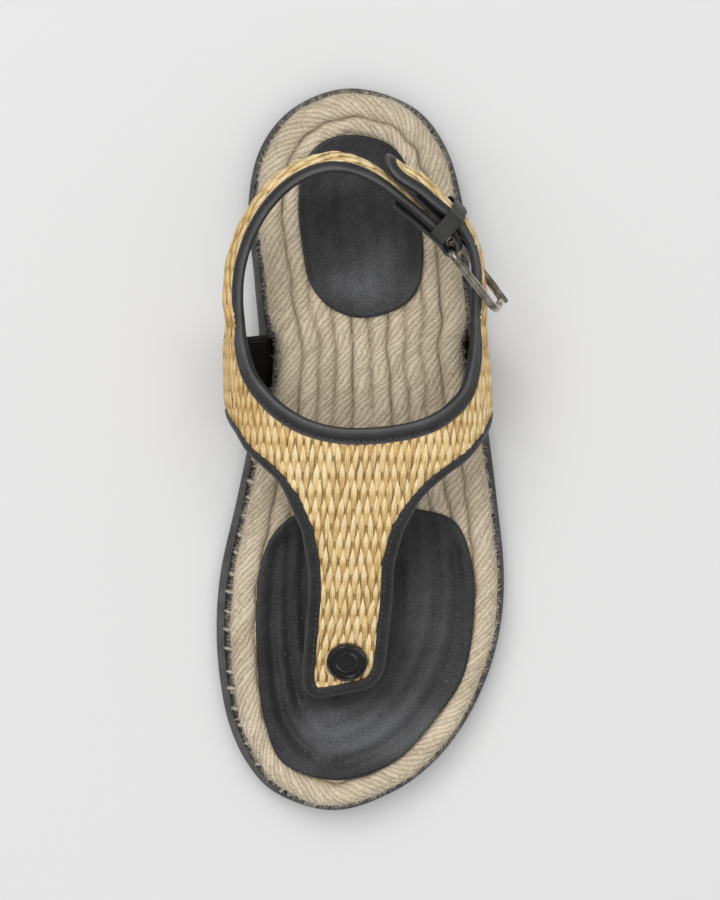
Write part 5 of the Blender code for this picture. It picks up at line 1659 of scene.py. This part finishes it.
def make_stud():
    axis = last_normal(*STUD_AT)
    seat = crest_drop(np.array(STUD_AT)) + axis * (WALL / 2 + GAP)
    side = unit(np.cross(UP, axis))
    ahead = np.cross(axis, side)
    around = round_ring(STUD_SIDES)
    rings = [seat + axis * rise + radius * (around[:, :1] * side + around[:, 1:] * ahead)
             for radius, rise, wear_and_sheen in STUD_SECTION]
    # Painted highlight on the rim and the boss, carried by the wear mark
    patchy = 0.55 + 0.45 * ripple(np.arange(STUD_SIDES + 1) / STUD_SIDES, 1, 6, 55)
    wear_and_sheen = np.array(STUD_SECTION)[:, 2:] * np.clip(patchy, 0.0, 1.0)
    marks = np.stack(np.broadcast_arrays(wear_and_sheen, 0.0), axis=2)
    head = linked("stud_head", welded(grid_mesh("stud_head", [(ring_grid(rings), {"Marks": marks})])))
    shown(head, "stud_leather", "stud")


def make_post():
    ring = round_ring(POST_SIDES)
    tilt = 1.0 / last_normal(*STUD_AT)[2]

    def low(radius, rise):
        plan = np.array(STUD_AT) + radius * ring
        return np.column_stack([plan, bed_height(plan)[0] + PAD_THICK + 2 * GAP + rise])

    def high(radius, drop):
        plan = np.array(STUD_AT) + radius * ring
        return crest_drop(plan) - UP * ((WALL / 2 + GAP) * tilt + drop)

    rings = [low(0.0, 0.0), *(low(*pair) for pair in POST_SECTION)]
    rings += [*(high(*pair) for pair in reversed(POST_SECTION)), high(0.0, 0.0)]
    pin = linked("toe_pin", welded(grid_mesh("toe_pin", [(ring_grid(rings), {})])))
    shown(pin, "tab_leather", "toe_post")


FRAME_SIDE = np.array([-FRAME_ALONG[1], FRAME_ALONG[0], 0.0])
FRAME_DOWN = FRAME_SIDE * math.sin(FRAME_LEAN) - UP * math.cos(FRAME_LEAN)
FRAME_OUT = FRAME_SIDE * math.cos(FRAME_LEAN) + UP * math.sin(FRAME_LEAN)
HINGE = -FRAME_LENGTH / 2


def in_frame(along, down, out):
    return FRAME_AT + FRAME_ALONG * along + FRAME_DOWN * down + FRAME_OUT * out


def wire(name, node, path, side, radius, closed):
    """Round wire along a path that lies in the plane square to side."""
    path = np.asarray(path)
    ahead = np.roll(path, -1, axis=0) - np.roll(path, 1, axis=0) if closed else np.gradient(path, axis=0)
    ahead = unit(ahead)
    up = np.cross(side, ahead)
    ring = round_ring(WIRE_SIDES)
    width = np.broadcast_to(radius, len(path))[:, None, None]
    rings = path[:, None] + width * (ring[None, :, :1] * np.asarray(side) + ring[None, :, 1:] * up[:, None])
    if closed:
        rings = np.concatenate([rings, rings[:1]])
    else:
        ends = [np.repeat(path[k][None], WIRE_SIDES, axis=0)[None] for k in (0, -1)]
        rings = np.concatenate([ends[0], rings, ends[1]])
    shown(linked(name, welded(grid_mesh(name, [(ring_grid(rings), {})]))), "buckle_metal", node)


def make_buckle():
    path = []
    for turn_along, turn_down, start in ((1, 1, 0.0), (-1, 1, 0.5), (-1, -1, 1.0), (1, -1, 1.5)):
        for share in np.linspace(0.0, 0.5, 12):
            angle = (start + share) * math.pi
            along = turn_along * (FRAME_LENGTH / 2 - FRAME_CORNER) + FRAME_CORNER * math.cos(angle)
            down = turn_down * (FRAME_HEIGHT / 2 - FRAME_CORNER) + FRAME_CORNER * math.sin(angle)
            path.append(in_frame(along, down, 0.0))
    path = np.array(path)
    closed = np.vstack([path, path[:1]])
    path = at_length(closed, np.linspace(0.0, walked(closed)[-1], 160, endpoint=False))
    wire("buckle_wire", "buckle_frame", path, FRAME_OUT, WIRE_RADIUS, True)
    turn = WIRE_RADIUS + GAP + PRONG_RADIUS
    bend = np.linspace(0.0, 1.0, 40)
    slim = PRONG_LOOP + (1.0 - PRONG_LOOP) * smooth_step(0.65, 1.0, bend)
    reach = turn - (1.0 - slim) * (PRONG_RADIUS + GAP / 2)
    prong = [in_frame(HINGE + r * math.sin(a), 0.0, r * math.cos(a))
             for a, r in zip(PRONG_TURN * (bend - 1.0), reach)]
    prong += [in_frame(x, 0.0, turn) for x in np.linspace(HINGE, -HINGE + PRONG_RADIUS, 30)[1:]]
    taper = PRONG_RADIUS * np.concatenate([slim, np.ones(20), np.linspace(1.0, PRONG_TIP, 9)])
    wire("prong_wire", "buckle_prong", prong, FRAME_DOWN, taper, False)


def strap_point(grid, depth, back):
    """Point of a strap at a depth and a length back from its end."""
    line = grid[::-1, int(round(depth / STRAP_WIDTH * (grid.shape[1] - 1)))]
    return at_length(line, np.array([back]))[0]


def make_tab():
    """Leather fold round the buckle's bar, with an inner and an outer leaf on the heel strap."""
    inner = BIND_STRAP + KEEPER_THICK + GAP + TAB_THICK / 2
    outer = BIND_STRAP + GAP + TAB_THICK / 2
    turns = np.linspace(0.0, math.pi, 9)
    fold = WIRE_RADIUS + TAB_HUG + TAB_THICK / 2 + TAB_BULGE * smooth_step(0.4 * math.pi, math.pi, turns)
    out = strap_frames(HEEL_STRAP, -1)[1][-1]
    lines = []
    for depth in np.linspace(0.0, STRAP_WIDTH, 11):
        line = [strap_point(HEEL_GRID, depth, share * TAB_LENGTH) - out * inner
                for share in (1.0, 0.66, 0.33, 0.0)]
        line.append(line[-1] + FRAME_ALONG * TAB_LEAD)
        down = depth * TAB_REACH - STRAP_WIDTH * (TAB_REACH - 0.5)
        line += [in_frame(HINGE + r * math.sin(a), down, -r * math.cos(a)) for a, r in zip(turns, fold)]
        line += [strap_point(HEEL_GRID, depth, back) + out * (outer + TAB_STRAY * back)
                 for back in (1.0, TAB_RETURN / 2, TAB_RETURN)]
        lines.append(spaced(line, 80))
    tab = linked("buckle_leaf", welded(grid_mesh("buckle_leaf", [(np.array(lines), {})]), False))
    modifier(tab, "SOLIDIFY", thickness=TAB_THICK * MM, offset=0.0)
    wide = (WIRE_RADIUS + GAP + PRONG_RADIUS) * 2 + TAB_SLOT_ROOM
    axes = np.stack([FRAME_ALONG * wide, FRAME_DOWN * TAB_SLOT, FRAME_OUT * wide], axis=1) * MM
    place = Matrix.Translation(Vector(in_frame(HINGE, 0.0, 0.0) * MM))
    slot = box_cutter("prong_slot", [place @ Matrix(axes).to_4x4()])
    modifier(tab, "BOOLEAN", operation="DIFFERENCE", solver="EXACT", object=slot)
    modifier(tab, "BEVEL", width=TAB_ROUND * MM, segments=3, limit_method="ANGLE",
             angle_limit=math.radians(50.0))
    baked(tab)
    bpy.data.objects.remove(slot)
    shown(tab, "tab_leather", "buckle_tab")


def make_keeper():
    """Leather band round both straps, a little behind the end of the heel strap."""
    inwards, outwards = BIND_STRAP + KEEPER_THICK / 2 + 0.1, BIND_STRAP + KEEPER_ROOM + KEEPER_THICK / 2
    rise = UP * (BIND_OUT + KEEPER_ROOM + KEEPER_THICK / 2)
    out = strap_frames(HEEL_STRAP, -1)[1][-1]
    near, far = [], []
    for depth in np.linspace(0.0, STRAP_WIDTH, 6):
        place = strap_point(HEEL_GRID, depth, KEEPER_BACK)
        line = BUCKLE_GRID[:, int(round(depth / STRAP_WIDTH * (BUCKLE_GRID.shape[1] - 1)))]
        beyond = line - place
        level = np.abs(beyond @ np.cross(out, UP)) + np.where(beyond @ out > 0, 0.0, 1e6)
        pick = int(np.argmin(level))
        near.append(place - out * inwards)
        far.append(line[pick] + out * outwards)
        run = unit(line[min(pick + 3, len(line) - 1)] - line[pick - 3])
    top, low = (far[0] - near[0]) * KEEPER_CORNER, (far[-1] - near[-1]) * KEEPER_CORNER
    below = [near[-1] + low - rise, far[-1] - low - rise]
    above = [far[0] - top + rise, near[0] + top + rise]
    loop = spaced_loop([*near, *below, *far[::-1], *above], 120)
    ahead = unit(np.roll(loop, -1, axis=0) - np.roll(loop, 1, axis=0))
    normal = unit(np.cross(run, ahead))
    section = KEEPER_SECTION + tuple((-x, -n) for x, n in KEEPER_SECTION)
    rings = np.array([loop + run * x + normal * KEEPER_THICK / 2 * n for x, n in section + section[:1]])
    band = linked("keeper_band", welded(grid_mesh("keeper_band", [(ring_grid(rings), {})])))
    shown(band, "tab_leather", "keeper_loop")


# Studio: pale floor, soft light from the upper left, and the camera
def make_studio():
    f = Finish("studio_floor")
    tone = f.noise(f.place(), 3.0, 2.0)
    colour = f.mix(tone, (0.795, 0.795, 0.795), (0.805, 0.805, 0.805))
    f.done(Base_Color=colour, Roughness=0.85 + tone * 0.05)
    mesh = bpy.data.meshes.new("studio_floor")
    corners = [(x * FLOOR_HALF, y * FLOOR_HALF, 0.0) for x, y in ((-1, -1), (1, -1), (1, 1), (-1, 1))]
    mesh.from_pydata(corners, [], [(0, 1, 2, 3)])
    mesh.materials.append(f.material)
    linked("studio_floor", mesh)
    for name, place, size, watts in LAMPS:
        light = bpy.data.lights.new(name, "AREA")
        light.size, light.energy = size, watts
        lamp = bpy.data.objects.new(name, light)
        lamp.visible_glossy = name == "key"
        lamp.location = place
        lamp.rotation_euler = (-Vector(place)).to_track_quat("-Z", "Y").to_euler()
        bpy.context.scene.collection.objects.link(lamp)
    world = bpy.data.worlds.new("studio")
    world.use_nodes = True
    sky = world.node_tree.nodes["Background"].inputs
    sky["Color"].default_value = (1.0, 1.0, 1.0, 1.0)
    sky["Strength"].default_value = WORLD_LIGHT
    scene = bpy.context.scene
    scene.world = world
    scene.view_settings.view_transform = "Standard"
    camera = bpy.data.objects.new("camera", bpy.data.cameras.new("camera"))
    camera.data.lens = CAMERA_LENS
    camera.data.clip_end = 20.0
    camera.location = Vector(CAMERA_AT) * MM
    back = (Vector(CAMERA_AT) - Vector(CAMERA_AIM)).normalized()
    right = Vector((0.0, 1.0, 0.0)).cross(back).normalized()
    camera.rotation_euler = Matrix((right, back.cross(right), back)).transposed().to_euler()
    scene.collection.objects.link(camera)
    scene.camera = camera


make_studio()
make_tray()
make_footbed()
make_pad("forefoot_cover", FOREFOOT_PAD, FOREFOOT_CREASES, FOREFOOT_WEAR_SHEEN, FOREFOOT_PRESS, "forefoot_pad")
make_pad("heel_cover", HEEL_PAD, HEEL_CREASES, HEEL_WEAR_SHEEN, HEEL_PRESS, "heel_pad")
make_wall()
make_floats()
make_bindings()
make_whip()
make_stud()
make_post()
make_buckle()
make_tab()
make_keeper()
